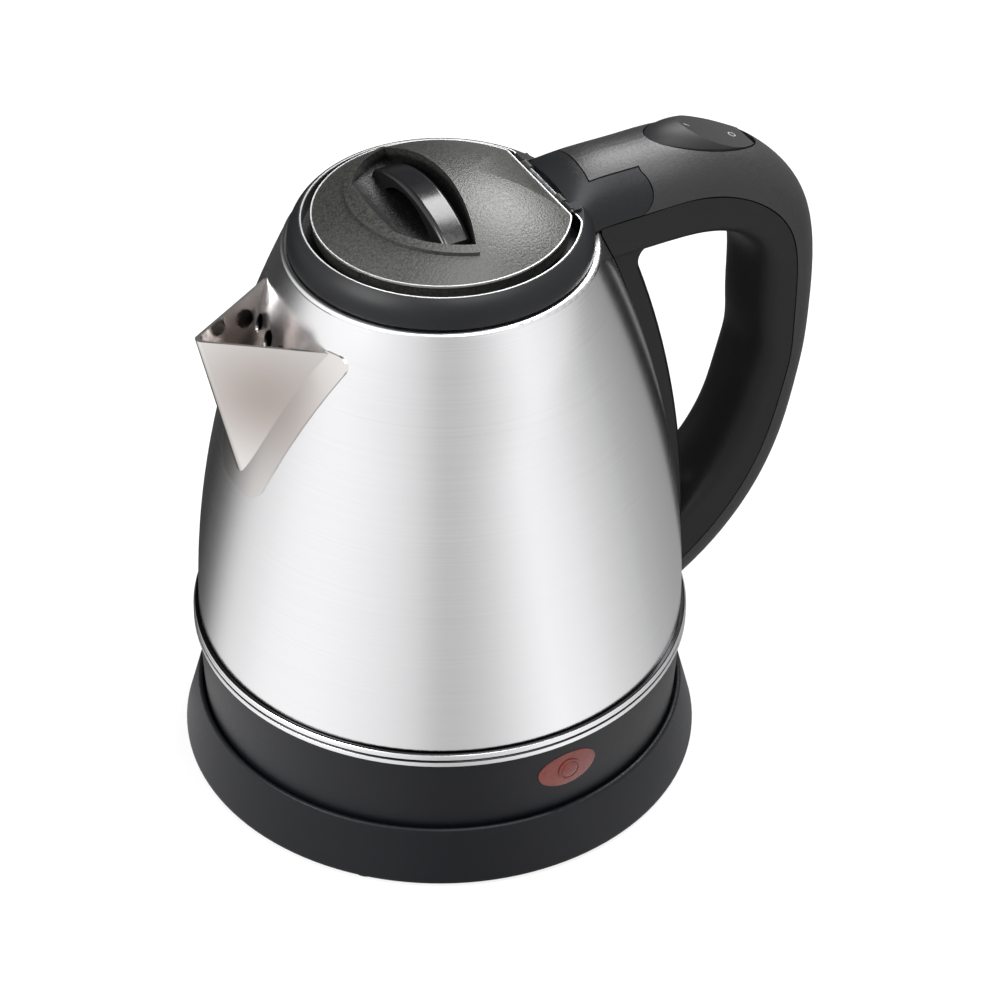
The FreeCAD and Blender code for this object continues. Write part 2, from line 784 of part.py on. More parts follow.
def spout_section(tip, half_mouth, mouth, z):
    """V-shaped outline at one height: rounded keel at tip, open side at X = mouth."""
    lean = hypot(mouth - tip, half_mouth)
    run_x = (mouth - tip) / lean
    run_y = half_mouth / lean
    back = spout_keel_round
    start = V(tip + back * run_x, back * run_y, z)
    nose = V(tip + back * (1 - run_y) / run_x, 0, z)
    end = V(start.x, -start.y, z)
    left = V(mouth, half_mouth, z)
    right = V(mouth, -half_mouth, z)
    edges = [Part.LineSegment(left, start).toShape(), Part.Arc(start, nose, end).toShape(),
             Part.LineSegment(end, right).toShape(), Part.LineSegment(right, left).toShape()]
    return Part.Wire(edges)


def spout_corner():
    height = body_foot + spout_rim - spout_rim_drop
    return V(-sqrt(body_radius(height) ** 2 - spout_half_mouth ** 2), spout_half_mouth, height)


def spout_wedge():
    """Solid wedge inside the outer faces of the beak, running on into the body."""
    corner = spout_corner()
    low = body_foot + spout_low
    mouth = -neck_radius / 2
    slope = spout_half_mouth / (corner.x - spout_tip)
    keel = -body_radius(low)
    top = spout_section(spout_tip, slope * (mouth - spout_tip), mouth, body_foot + spout_rim)
    bottom = spout_section(keel - spout_low_out, spout_low_half, keel + spout_low_reach, low)
    return Part.makeLoft([bottom, top], True, True)


def spout_flange_prism():
    """Rounded outline of the flange round the foot of the beak, seen along X."""
    corner = spout_corner()
    low = body_foot + flange_low
    half = corner.y + flange_side
    high = corner.z + flange_rise
    points = [V(-far, -flange_low_half, low), V(-far, flange_low_half, low),
              V(-far, half, high), V(-far, -half, high)]
    solid = Part.Face(Part.makePolygon(points + points[:1])).extrude(V(far - neck_radius / 2, 0, 0))
    runs = [edge for edge in solid.Edges if edge.BoundBox.XLength > far / 2]
    solid = solid.makeFillet(flange_low_round, [edge for edge in runs if edge.CenterOfMass.z < low + overlap])
    runs = [edge for edge in solid.Edges if edge.BoundBox.XLength > far / 2]
    return solid.makeFillet(flange_top_round, [edge for edge in runs if edge.CenterOfMass.z > high - overlap])


def make_spout():
    corner = spout_corner()
    rim = body_foot + spout_rim
    wedge = spout_wedge()
    inside = wedge.copy()
    inside.translate(V(spout_sheet * hypot(corner.x - spout_tip, corner.y) / corner.y, 0, spout_sheet))
    front = spout_tip - overlap
    roof = prism_y([(front, rim), (corner.x, corner.z), (0, corner.z), (0, far), (front, far)], far)
    beak = wedge.cut(inside)
    plate = body_solid(flange_sheet, body_foot, body_top).common(spout_flange_prism()).cut(inside)
    return beak.cut(roof).fuse(plate).cut(body_solid(0, body_foot, body_top)).removeSplitter()


def lid_dome_solid(offset):
    """Everything under the dome of the lid, which rolls off to a straight edge at the chord."""
    drop = sqrt(lid_dome ** 2 - lid_radius ** 2)
    ball = Part.makeSphere(lid_dome + offset, V(0, 0, lid_rim - drop))
    lean = radians(lid_roll_lean)
    out = V(sin(lean), 0, cos(lean))
    # The roll touches the ball where it leaves it and passes through the chord's edge.
    edge = V(lid_chord, 0, drop)
    reach = (edge.Length ** 2 - lid_dome ** 2) / (2 * (edge.dot(out) - lid_dome))
    axis = out * reach + V(0, 0, lid_rim - drop)
    roll = rod(lid_dome - reach + offset, axis - along_y * far, axis + along_y * far)
    start = (lid_dome + offset) * sin(lean)
    beyond = block((start, -far, lid_rim - drop), (far, far, lid_rim + lid_dome)).cut(roll)
    return ball.cut(beyond)


def eye_prism(grow, low, high):
    """Eye-shaped prism with tips at Y = plus and minus its half length."""
    tip = eye_half_length + grow
    start = V(eye_tip, -tip, low)
    end = V(eye_tip, tip, low)
    front = Part.Arc(start, V(eye_tip - eye_front - grow, 0, low), end).toShape()
    back = Part.Arc(end, V(eye_tip + eye_back + grow, 0, low), start).toShape()
    return Part.Face(Part.Wire([front, back])).extrude(V(0, 0, high - low))


def lid_screw(x, y, grow=0.0):
    head = V(x, y, lid_rim - lid_skirt - plug_depth + plug_flange_thickness)
    return screw(head, upright, lid_screw_length, grow)


def lid_screw_places():
    return on_circle(lid_screw_count, lid_screw_circle, lid_screw_turn)


def knuckle(span, radius):
    near = rod(radius, V(hinge_x, -span[1], hinge_z), V(hinge_x, -span[0], hinge_z))
    away = rod(radius, V(hinge_x, span[0], hinge_z), V(hinge_x, span[1], hinge_z))
    return near.fuse(away)


def widened(span, gap):
    return (span[0] - gap, span[1] + gap)


def hinge_bore(grow):
    return rod(hinge_pin_radius + grow, V(hinge_x, -far, hinge_z), V(hinge_x, far, hinge_z))


def make_lid_cover():
    low = lid_rim - lid_skirt
    floor = lid_rim + bowl_floor
    high = lid_rim + lid_dome / 2
    outer = rounded_d(lid_radius, lid_chord, lid_corner, low, high).common(lid_dome_solid(0))
    hollow = rounded_d(lid_radius - lid_wall, lid_chord - lid_wall, lid_corner - lid_wall / 2,
                       low - overlap, high)
    cover = outer.cut(hollow.common(lid_dome_solid(-lid_wall)))
    cover = cover.fuse(eye_prism(eye_rim, floor - bowl_base, high).common(lid_dome_solid(eye_rise)))
    for x, y in lid_screw_places():
        post = rod(lid_post_radius, V(x, y, low), V(x, y, high))
        cover = cover.fuse(post.common(lid_dome_solid(-lid_wall / 2)))
    bowl_middle = V(grip_front, 0, floor + bowl_radius)
    scoop = rod(bowl_radius, bowl_middle - along_y * far, bowl_middle + along_y * far)
    behind = block((grip_front, -far, floor), (far, far, high))
    cover = cover.cut(eye_prism(0, floor, high).common(scoop.fuse(behind)))
    web_top = lid_rim - lid_trim_height - insert_gap
    web = both_sides(knuckle_span, (lid_chord - lid_wall, web_top - knuckle_radius), (hinge_x, web_top))
    cover = cover.fuse(web.fuse(knuckle(knuckle_span, knuckle_radius)))
    cover = cover.cut([lid_screw(x, y, insert_gap) for x, y in lid_screw_places()])
    return cover.cut(hinge_bore(pin_gap)).removeSplitter()


def make_lid_trim():
    low = lid_rim - lid_trim_height
    grow = lid_trim_width
    band = rounded_d(lid_radius + grow, lid_chord + grow, lid_corner + grow, low, lid_rim)
    return band.cut(rounded_d(lid_radius, lid_chord, lid_corner, low - overlap, lid_rim + overlap))


def make_lid_grip():
    floor = lid_rim + bowl_floor
    end = lid_rim + grip_end
    crown = lid_rim + grip_crown
    half = grip_half_length
    arch = floor + grip_gap_height
    points = [V(0, -half, floor), V(0, -half, end), V(0, half, end), V(0, half, floor),
              V(0, grip_gap_half, floor), V(0, -grip_gap_half, floor)]
    edges = [Part.LineSegment(points[0], points[1]).toShape(),
             Part.Arc(points[1], V(0, 0, crown), points[2]).toShape(),
             Part.LineSegment(points[2], points[3]).toShape(),
             Part.LineSegment(points[3], points[4]).toShape(),
             Part.Arc(points[4], V(0, 0, arch), points[5]).toShape(),
             Part.LineSegment(points[5], points[0]).toShape()]
    bar = Part.Face(Part.Wire(edges)).extrude(V(grip_thickness, 0, 0))
    top = [edge for edge in bar.Edges if edge.BoundBox.ZMax > crown - 1e-3 and edge.BoundBox.XLength < 1e-3]
    bar = bar.makeFillet(grip_thickness / 6, top)
    bar.translate(V(grip_front, 0, 0))
    return bar.common(eye_prism(-insert_gap, floor, crown + overlap))


def make_lid_base():
    low = lid_rim - lid_skirt - plug_depth + plug_flange_thickness
    flange_top = lid_rim - lid_skirt
    flange_low = flange_top - plug_flange_thickness
    flange = rounded_d(plug_radius + plug_flange, plug_chord + plug_flange, lid_corner,
                       flange_low, flange_top)
    plug = rounded_d(plug_radius, plug_chord, lid_corner, low, flange_top)
    hollow = rounded_d(plug_radius - plug_wall, plug_chord - plug_wall, lid_corner,
                       low + plug_wall, flange_top + overlap)
    base = flange.fuse(plug).cut(hollow)
    for x, y in lid_screw_places():
        base = base.fuse(rod(lid_post_radius, V(x, y, low), V(x, y, flange_top)))
        base = base.cut(lid_screw(x, y, insert_gap))
    return base.removeSplitter()


def make_lid_seal():
    high = lid_rim - lid_skirt - plug_flange_thickness
    low = high - lid_seal_height
    outer = rounded_d(plug_radius + lid_seal_width, plug_chord + lid_seal_width, lid_corner, low, high)
    return outer.cut(rounded_d(plug_radius, plug_chord, lid_corner, low - overlap, high + overlap))


def make_lid_screws():
    return Part.Compound([lid_screw(x, y) for x, y in lid_screw_places()])


def make_hinge_pin():
    reach = lug_span[1]
    return rod(hinge_pin_radius, V(hinge_x, -reach, hinge_z), V(hinge_x, reach, hinge_z))


def half_section(middle, outward, reach, half_width, fullness):
    """Closed outline, flat across the parting line and domed outwards by reach."""
    side = V(0, half_width, 0)
    tip = outward * reach
    right = [middle + side, middle + side + tip * fullness, middle + side * fullness + tip, middle + tip]
    left = [middle + tip, middle - side * fullness + tip, middle - side + tip * fullness, middle - side]
    edges = []
    for poles in (right, left):
        curve = Part.BezierCurve()
        curve.setPoles(poles)
        edges.append(curve.toShape())
    edges.append(Part.LineSegment(left[-1], right[0]).toShape())
    return Part.Wire(edges)


def handle_frames():
    """Crown point, inner point, half width, grip measure and crown drop of every section."""
    frames = []
    for out, drop, half_width in neck_stations:
        x = body_top_radius + out
        frames.append((V(x, 0, bridge_top - drop), V(x, 0, bridge_under), half_width, 0.0, drop))
    for crown_out, crown_drop, inner_out, inner_drop, half_width, grip in bridge_stations:
        crown = V(body_top_radius + crown_out, 0, bridge_top - crown_drop)
        inner = V(body_top_radius + inner_out, 0, bridge_top - inner_drop)
        frames.append((crown, inner, half_width, grip, 0.0))
    for crown_out, crown_share, inner_out, inner_share, half_width, grip in grip_stations:
        wall = wall_beside(crown_share * body_height)
        crown = V(wall + crown_out, 0, body_foot + crown_share * body_height)
        inner = V(wall + inner_out, 0, body_foot + inner_share * body_height)
        frames.append((crown, inner, half_width, grip, 0.0))
    return frames


def handle_half(outer, inset, past=0.0):
    """Solid of the crown side or the finger side of the whole handle, inset by a wall."""
    wires = []
    for crown, inner, half_width, grip, drop in handle_frames():
        line = crown - inner
        depth = line.Length + drop
        outward = line.normalize()
        parting = inner + outward * depth * parting_share
        reach = (crown - parting).Length if outer else (parting - inner).Length
        direction = outward if outer else outward * -1
        middle = parting + direction * (seam_gap / 2 - past)
        fullness = crown_fullness if outer else root_fullness + (grip_fullness - root_fullness) * grip
        reach += past - seam_gap / 2 - inset
        wires.append(half_section(middle, direction, reach, half_width - inset, fullness))
    return Part.makeLoft(wires if outer else wires[1:], True, False)


def neck_region():
    """Part of the bridge that belongs to the collar, seen from the side."""
    low = bridge_parting - overlap
    foot = body_top_radius + cheek_low
    bulge = body_top_radius + cheek_bulge[0]
    end = body_top_radius + cheek_high[0]
    path = [(0, low), (foot, low), (foot, bridge_parting),
            (bulge, bridge_parting + cheek_bulge[1], end, bridge_parting + cheek_high[1]),
            (end, far), (0, far)]
    return prism_y(path, far)


def on_bridge(shape):
    """Put a shape made round the rocker's own middle on the sloping top of the handle."""
    shape.rotate(origin, along_y, rocker_tilt)
    shape.translate(rocker_mid)
    return shape


def rocker_oval(grow, low, high):
    oval = Part.Ellipse(origin, rocker_length / 2 + grow, rocker_width / 2 + grow)
    face = Part.Face(Part.Wire([oval.toShape()]))
    face.translate(V(0, 0, low))
    return face.extrude(V(0, 0, high - low))


def rocker_bore(radius, reach):
    return rod(radius, V(0, -reach, rocker_pin_level), V(0, reach, rocker_pin_level))


def rocker_lugs():
    inside = rocker_width / 2 + seam_gap
    span = (inside, inside + 2 * lug_thickness)
    low = rocker_pin_level - lug_drop
    return on_bridge(both_sides(span, (-lug_half_length, low), (lug_half_length, far)))


def rocker_pin_reach():
    return rocker_width / 2 + seam_gap + lug_thickness / 2


def tongue_box(gap):
    half = tongue_half_width + gap
    low = bridge_top - 2 * tongue_half_width
    start = body_top_radius + tongue_start - gap
    end = body_top_radius + cheek_bulge[0] + 2 * overlap
    return block((start, -half, low), (end, half, bridge_top + overlap))


def collar_body():
    """Ring, lid seat and sleeve of the collar before the lid's openings are cut."""
    belly_z = collar_low + collar_height * belly_height
    belly_r = opening_radius + (collar_radius - opening_radius) * belly_reach + collar_belly
    inner_face = neck_radius - body_sheet - insert_gap
    groove = body_top + shoulder_roll + neck_height - body_sheet + seal_height
    sleeve_face = inner_face - sleeve_wall
    sleeve_low = collar_low - sleeve_drop
    path = [(0, collar_top), (0, seat_top - seat_thickness), (sleeve_face, seat_top - seat_thickness),
            (sleeve_face, sleeve_low), (inner_face, sleeve_low), (inner_face, groove),
            (neck_radius + insert_gap, groove), (neck_radius + insert_gap, collar_low),
            (collar_radius, collar_low),
            (belly_r, belly_z, opening_radius + trim_width + collar_lip, collar_top)]
    return turned(path)


def body_neck_room():
    """Space that the top of the steel body and its seal take in the collar."""
    groove = body_top + shoulder_roll + neck_height - body_sheet + seal_height
    inner_face = neck_radius - body_sheet - insert_gap
    neck = ring(neck_radius + insert_gap, inner_face, collar_low - sleeve_drop, groove)
    return neck.fuse(kettle_envelope(insert_gap).cut(rod(neck_radius, V(0, 0, 0), V(0, 0, far))))


def make_collar():
    neck = handle_half(True, 0.0).common(neck_region())
    pocket = tongue_box(seam_gap).cut(handle_half(True, tongue_thickness + seam_gap / 2))
    start = opening_chord + trim_width + 2 * handle_wall
    cavity = handle_half(True, 2 * handle_wall + seam_gap / 2)
    cavity = cavity.common(block((start, -far, neck_floor_top), (far, far, far)))
    collar = collar_body().fuse(neck.cut(pocket))
    upper = rounded_d(opening_radius, opening_chord, opening_corner, seat_top, far)
    lower = rounded_d(seat_radius, seat_chord, lid_corner,
                      collar_low - sleeve_drop - overlap, seat_top + overlap)
    collar = collar.cut([upper, lower, cavity, trim_step(), body_neck_room()])
    back = opening_chord + trim_width + insert_gap
    arms = both_sides(lug_span, (hinge_x, collar_top + insert_gap), (back + lug_root, hinge_z))
    roots = both_sides(lug_span, (back, collar_top - trim_height), (back + lug_root, hinge_z))
    collar = collar.fuse(arms.fuse([roots, knuckle(lug_span, lug_radius)]))
    room = knuckle(widened(knuckle_span, running_gap), knuckle_radius + running_gap)
    vent_low = seat_top + seam_gap
    vent = block((opening_chord - overlap, -vent_width / 2, vent_low),
                 (start + overlap, vent_width / 2, vent_low + vent_height))
    collar = collar.cut([hinge_bore(insert_gap / 2), room, vent])
    for side in (-neck_screw_y, neck_screw_y):
        boss = rod(neck_post_radius, V(neck_screw_x, side, neck_floor_top - neck_floor),
                   V(neck_screw_x, side, neck_floor_top + neck_floor))
        access = rod(screw_head_radius + seam_gap, V(neck_screw_x, side, neck_floor_top + neck_floor),
                     V(neck_screw_x, side, far))
        collar = collar.fuse(boss).cut([neck_screw(side, insert_gap), access])
    return collar.removeSplitter()


def trim_step():
    """Thin band round the lid opening, on the collar's inner edge."""
    low = collar_top - trim_height
    grow = trim_width
    band = rounded_d(opening_radius + grow, opening_chord + grow, opening_corner + grow, low, collar_top)
    opening = rounded_d(opening_radius, opening_chord, opening_corner, low - overlap, collar_top + overlap)
    return band.cut(opening)


def make_collar_trim():
    return trim_step()


def make_collar_seal():
    low = body_top + shoulder_roll + neck_height - body_sheet
    return ring(neck_radius, neck_radius - body_sheet, low, low + seal_height)


def beside_body(height, offset):
    """Point at this offset from the wall on the handle's side, and the wall's outward direction there."""
    rise = height / body_arc
    outward = V(sqrt(1 - rise ** 2), 0, rise)
    return V(body_foot_radius - body_arc, 0, body_foot) + outward * (body_arc + offset), outward


def handle_screw(height, grow=0.0):
    head, outward = beside_body(height, strip_depth)
    return screw(head, outward * -1, handle_screw_length, grow)


def neck_screw(side, grow=0.0):
    return screw(V(neck_screw_x, side, neck_floor_top + neck_floor), V(0, 0, -1), neck_screw_length, grow)


def strip_prism(depth, half_width, low, high):
    """Band that follows the body's side outside its wall, seen from -Y."""
    middle = (low + high) / 2
    path = [(0, low), (body_radius(low, depth), low),
            (body_radius(middle, depth), middle, body_radius(high, depth), high), (0, high)]
    return prism_y(path, half_width)


def strip_solid():
    """Strip along the body with a round corner under the bridge and eased outer edges."""
    low = body_foot + strip_low
    high = bridge_under + 2 * handle_wall
    arc_middle = V(body_foot_radius - body_arc, 0, body_foot)
    reach = body_arc + strip_depth
    corner_z = bridge_under - strip_corner
    corner = V(arc_middle.x + sqrt((reach + strip_corner) ** 2 - (corner_z - body_foot) ** 2), 0, corner_z)
    toward = (arc_middle - corner).normalize()
    touch = corner + toward * strip_corner
    bend = corner + (toward + upright).normalize() * strip_corner
    middle = (low + touch.z) / 2
    path = [(0, low), (body_radius(low, strip_depth), low),
            (body_radius(middle, strip_depth), middle, touch.x, touch.z),
            (bend.x, bend.z, corner.x, bridge_under), (corner.x, high), (0, high)]
    strip = prism_y(path, strip_half_width)
    eased = [edge for edge in strip.Edges
             if edge.BoundBox.YLength < 1e-3 and edge.Curve.TypeId == "Part::GeomCircle"]
    return strip.makeChamfer(strip_edge, eased)


def make_handle_outer_shell():
    shell = handle_half(True, 0.0).cut(handle_half(True, handle_wall, overlap))
    lugs = rocker_lugs().common(handle_half(True, handle_wall / 2))
    behind = neck_region()
    behind.translate(V(seam_gap, 0, 0))
    hole = on_bridge(rocker_oval(seam_gap, rocker_pin_level - lug_drop, far))
    bore = on_bridge(rocker_bore(rocker_pin_radius + insert_gap / 2, rocker_pin_reach() + insert_gap))
    shell = shell.cut(behind.cut(tongue_box(0.0))).cut(kettle_envelope(running_gap))
    return shell.fuse(lugs).cut([hole, bore]).removeSplitter()


def make_handle_inner_shell():
    low = body_foot + strip_low + handle_wall
    solid = handle_half(False, 0.0).fuse(strip_solid())
    channel = strip_prism(strip_depth - handle_wall, strip_half_width - handle_wall, low, bridge_under)
    shell = solid.cut([handle_half(False, handle_wall, overlap), channel, kettle_envelope(running_gap)])
    for side in (-neck_screw_y, neck_screw_y):
        post = rod(neck_post_radius, V(neck_screw_x, side, bridge_under + handle_wall / 2),
                   V(neck_screw_x, side, bridge_parting - seam_gap / 2))
        shell = shell.fuse(post).cut(neck_screw(side, insert_gap))
    return shell.cut([handle_screw(height, insert_gap) for height in bracket_heights]).removeSplitter()


def make_handle_screws():
    screws = [handle_screw(height) for height in bracket_heights]
    return Part.Compound(screws + [neck_screw(side) for side in (-neck_screw_y, neck_screw_y)])


def make_handle_brackets():
    brackets = []
    for height in bracket_heights:
        root, outward = beside_body(height, -overlap)
        tip, outward = beside_body(height, strip_depth - handle_wall - insert_gap)
        plate = block((0, -bracket_half_width, root.z - bracket_half_height),
                      (far, bracket_half_width, root.z + bracket_half_height))
        plate = plate.common(body_solid(bracket_sheet, body_foot, body_top))
        bracket = plate.fuse(rod(bracket_boss_radius, root, tip))
        bracket = bracket.cut([body_solid(0, body_foot, body_top), handle_screw(height, insert_gap)])
        brackets.append(bracket.removeSplitter())
    return Part.Compound(brackets)


def above_rocker():
    """Space over the egg that rounds the heel and the flanks and passes through the ridge."""
    along, level = rocker_dome_middle
    share = sqrt(1 - ((rocker_ridge[0] - along) / rocker_dome_half[0]) ** 2)
    height = (rocker_ridge[1] - level) / share
    scale = FreeCAD.Matrix()
    scale.scale(V(rocker_dome_half[0], rocker_dome_half[1], height))
    egg = Part.makeSphere(1.0).transformGeometry(scale)
    egg.translate(V(along, 0, level))
    return rocker_oval(overlap, level, 3 * rocker_ridge[1]).cut(egg)


def make_rocker():
    half = rocker_length / 2
    path = [(-half, rocker_under), (-half, 2 * rocker_ridge[1]), rocker_ridge, (*rocker_dish, *rocker_toe),
            (half, rocker_heel), (half, rocker_under)]
    body = prism_y(path, rocker_width).common(rocker_oval(0.0, rocker_under - overlap, far))
    body = body.cut(above_rocker())
    body = body.cut(rocker_oval(-handle_wall, rocker_under - overlap, rocker_pin_level - rocker_skin))
    finger = block((-finger_radius, -finger_half_width, finger_level),
                   (finger_radius, finger_half_width, rocker_pin_level))
    tip = rod(finger_radius, V(0, -finger_half_width, finger_level), V(0, finger_half_width, finger_level))
    return on_bridge(body.fuse([finger, tip]).cut(rocker_bore(rocker_pin_radius + pin_gap, rocker_width)))


def make_rocker_pin():
    return on_bridge(rocker_bore(rocker_pin_radius, rocker_pin_reach()))


def lever_bar(radius, half_width):
    return rod(radius, V(0, -half_width, lever_level), V(0, half_width, lever_level))


def make_switch_lever():
    inner = finger_radius + fork_gap
    top = finger_level + finger_radius
    crotch = finger_level - finger_radius - 2 * fork_gap
    hub = lever_bar(lever_hub_radius, lever_half_width)
    outer = inner + fork_wall
    stem = block((-outer, -lever_half_width, lever_level), (outer, lever_half_width, top))
    slot = block((-inner, -far, crotch), (inner, far, top + overlap))
    return on_bridge(hub.fuse(stem).cut([slot, lever_bar(lever_pin_radius + pin_gap, far)]).removeSplitter())


def make_lever_pin():
    return on_bridge(lever_bar(lever_pin_radius, unit_half_width - handle_wall))


def make_steam_switch():
    unit = block((unit_back, -unit_half_width, bridge_under), (unit_front, unit_half_width, unit_top))
    unit = unit.common(handle_half(False, handle_wall + insert_gap, lever_room))
    low = lever_level - lever_hub_radius - 2 * running_gap
    half = finger_radius + fork_gap + fork_wall + lever_room
    room = block((-half, -lever_half_width - running_gap, low), (half, lever_half_width + running_gap, far))
    pin = lever_bar(lever_pin_radius + insert_gap / 2, unit_half_width - handle_wall + insert_gap)
    return unit.cut([on_bridge(room), on_bridge(pin)]).removeSplitter()


def make_steam_bimetal():
    face = V(unit_back, 0, steam_disc_level)
    return rod(steam_disc_radius, face - along_x * bimetal_sheet, face)


def rounded_route(points):
    """Path of straight runs joined by tangent arcs, each as large as its runs allow."""
    edges = []
    last = points[0]
    for before, corner, after in zip(points, points[1:], points[2:]):
        back = before - corner
        ahead = after - corner
        run = bend_share * min(back.Length, ahead.Length)
        back.normalize()
        ahead.normalize()
        start = corner + back * run
        end = corner + ahead * run
        bisector = (back + ahead).normalize()
        half_turn = (pi - back.getAngle(ahead)) / 2
        radius = run / tan(half_turn)
        centre = corner + bisector * (radius / cos(half_turn))
        edges.append(Part.LineSegment(last, start).toShape())
        edges.append(Part.Arc(start, centre - bisector * radius, end).toShape())
        last = end
    edges.append(Part.LineSegment(last, points[-1]).toShape())
    return Part.Wire(edges)


def wire_route(y):
    """From the switch down the middle of the grip, through the skirt to the control."""
    points = [V(unit_front + wire_radius, y, unit_top - wire_exit)]
    for crown, inner, half_width, grip, drop in handle_frames()[6:-2]:
        points.append((crown + inner) * 0.5 + V(0, y, 0))
    port = skirt_radius(window_height)
    entry = control_under + control_height * wire_entry
    points.append(V(port + wire_lead, y, window_height))
    points.append(V((port + control_radius) / 2, y, entry))
    points.append(V(control_radius - insert_gap, y, entry))
    return points


def make_handle_wires():
    wires = []
    for side in (-wire_spacing, wire_spacing):
        points = wire_route(side)
        section = Part.Wire([Part.Circle(points[0], points[1] - points[0], wire_radius).toShape()])
        wires.append(rounded_route(points).makePipeShell([section], True, False))
    return Part.Compound(wires)


pieces = {
    "base_top_cover": make_base_top_cover,
    "base_bottom_cover": make_base_bottom_cover,
    "base_feet": make_base_feet,
    "base_screws": make_base_screws,
    "cord_gland": make_cord_gland,
    "base_connector": make_base_connector,
    "base_contacts": make_base_contacts,
    "kettle_socket": make_kettle_socket,
    "socket_contacts": make_socket_contacts,
    "skirt": make_skirt,
    "skirt_screws": make_skirt_screws,
    "indicator_lens": make_indicator_lens,
    "indicator_lamp": make_indicator_lamp,
    "lamp_clip": make_lamp_clip,
    "body_shell": make_body_shell,
    "heater_plate": make_heater_plate,
    "plate_studs": make_plate_studs,
    "heat_diffuser": make_heat_diffuser,
    "heating_element": make_heating_element,
    "thermostat_control": make_thermostat_control,
    "control_bimetals": make_control_bimetals,
    "spout": make_spout,
    "collar": make_collar,
    "collar_trim": make_collar_trim,
    "collar_seal": make_collar_seal,
    "lid_hinge_pin": make_hinge_pin,
    "lid_cover": make_lid_cover,
    "lid_trim": make_lid_trim,
    "lid_grip": make_lid_grip,
    "lid_base": make_lid_base,
    "lid_seal": make_lid_seal,
    "lid_screws": make_lid_screws,
    "handle_outer_shell": make_handle_outer_shell,
    "handle_inner_shell": make_handle_inner_shell,
    "handle_screws": make_handle_screws,
    "handle_brackets": make_handle_brackets,
    "rocker": make_rocker,
    "rocker_pin": make_rocker_pin,
    "switch_lever": make_switch_lever,
    "lever_pin": make_lever_pin,
    "steam_switch": make_steam_switch,
    "steam_bimetal": make_steam_bimetal,
    "handle_wires": make_handle_wires,
}

os.makedirs("parts", exist_ok=True)
for name, make in pieces.items():
    piece = make()
    print(name, len(piece.Solids), round(piece.Volume), piece.isValid())
    piece.exportStep("parts/" + name + ".step")
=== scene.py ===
from math import cos, radians, sin, tan

import bpy
from mathutils import Matrix, Vector


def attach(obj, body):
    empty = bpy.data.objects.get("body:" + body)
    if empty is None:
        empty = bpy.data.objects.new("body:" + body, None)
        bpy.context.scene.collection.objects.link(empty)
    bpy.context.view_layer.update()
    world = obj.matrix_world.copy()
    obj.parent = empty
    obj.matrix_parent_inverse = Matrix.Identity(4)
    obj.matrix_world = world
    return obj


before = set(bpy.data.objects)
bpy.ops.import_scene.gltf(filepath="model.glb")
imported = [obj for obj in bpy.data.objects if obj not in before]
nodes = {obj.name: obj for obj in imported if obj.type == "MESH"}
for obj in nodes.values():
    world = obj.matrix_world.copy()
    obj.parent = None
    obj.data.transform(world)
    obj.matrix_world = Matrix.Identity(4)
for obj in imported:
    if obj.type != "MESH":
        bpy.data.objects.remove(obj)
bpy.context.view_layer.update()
mm = 0.001
# most values of a noise texture lie between these two
noiseLow = 0.3
noiseHigh = 0.7
bpy.ops.object.select_all(action="DESELECT")
scene = bpy.context.scene
scene.view_settings.view_transform = "Standard"
print("frame loaded with", len(nodes), "nodes")


def hexColor(code):
    channels = [int(code[i:i + 2], 16) / 255 for i in (1, 3, 5)]
    linear = [c / 12.92 if c <= 0.04045 else ((c + 0.055) / 1.055) ** 2.4 for c in channels]
    return (*linear, 1.0)


def addNode(tree, kind, settings, inputs):
    node = tree.nodes.new(kind)
    for name, value in settings.items():
        setattr(node, name, value)
    for name, value in inputs.items():
        if isinstance(value, bpy.types.NodeSocket):
            tree.links.new(value, node.inputs[name])
        else:
            node.inputs[name].default_value = value
    return node


def newMaterial(name):
    material = bpy.data.materials.new(name)
    material.use_nodes = True
    material.node_tree.nodes.clear()
    return material, material.node_tree


def closeMaterial(tree, shader):
    addNode(tree, "ShaderNodeOutputMaterial", {}, {"Surface": shader.outputs[0]})


# camera, at the photograph's height and turn
cameraLook = {
    "azimuth": -28.0, "elevation": 37.649, "aimHeight": 101.0, "distance": 1200.0,
    "panRight": 0.8602, "panUp": -0.5782, "roll": 0.8438, "focalPixels": 3974.98,
    "imagePixels": 1000, "sensor": 36.0,
}


def placeCamera(look):
    azimuth, elevation = radians(look["azimuth"]), radians(look["elevation"])
    back = Vector((sin(azimuth) * cos(elevation), -cos(azimuth) * cos(elevation), sin(elevation)))
    level = Vector((cos(azimuth), sin(azimuth), 0))
    lift = back.cross(level)
    forward = -back + tan(radians(look["panRight"])) * level + tan(radians(look["panUp"])) * lift
    forward.normalize()
    flat = forward.cross(Vector((0, 0, 1))).normalized()
    upward = flat.cross(forward)
    turn, tip = cos(radians(look["roll"])), sin(radians(look["roll"]))
    right = turn * flat + tip * upward
    up = turn * upward - tip * flat
    pose = Matrix((right, up, -forward)).transposed().to_4x4()
    pose.translation = (Vector((0, 0, look["aimHeight"])) + back * look["distance"]) * mm
    bpy.ops.object.camera_add()
    camera = bpy.context.object
    camera.matrix_world = pose
    camera.data.sensor_width = look["sensor"]
    camera.data.lens = look["focalPixels"] / look["imagePixels"] * look["sensor"]
    scene.camera = camera


placeCamera(cameraLook)
print("camera placed")


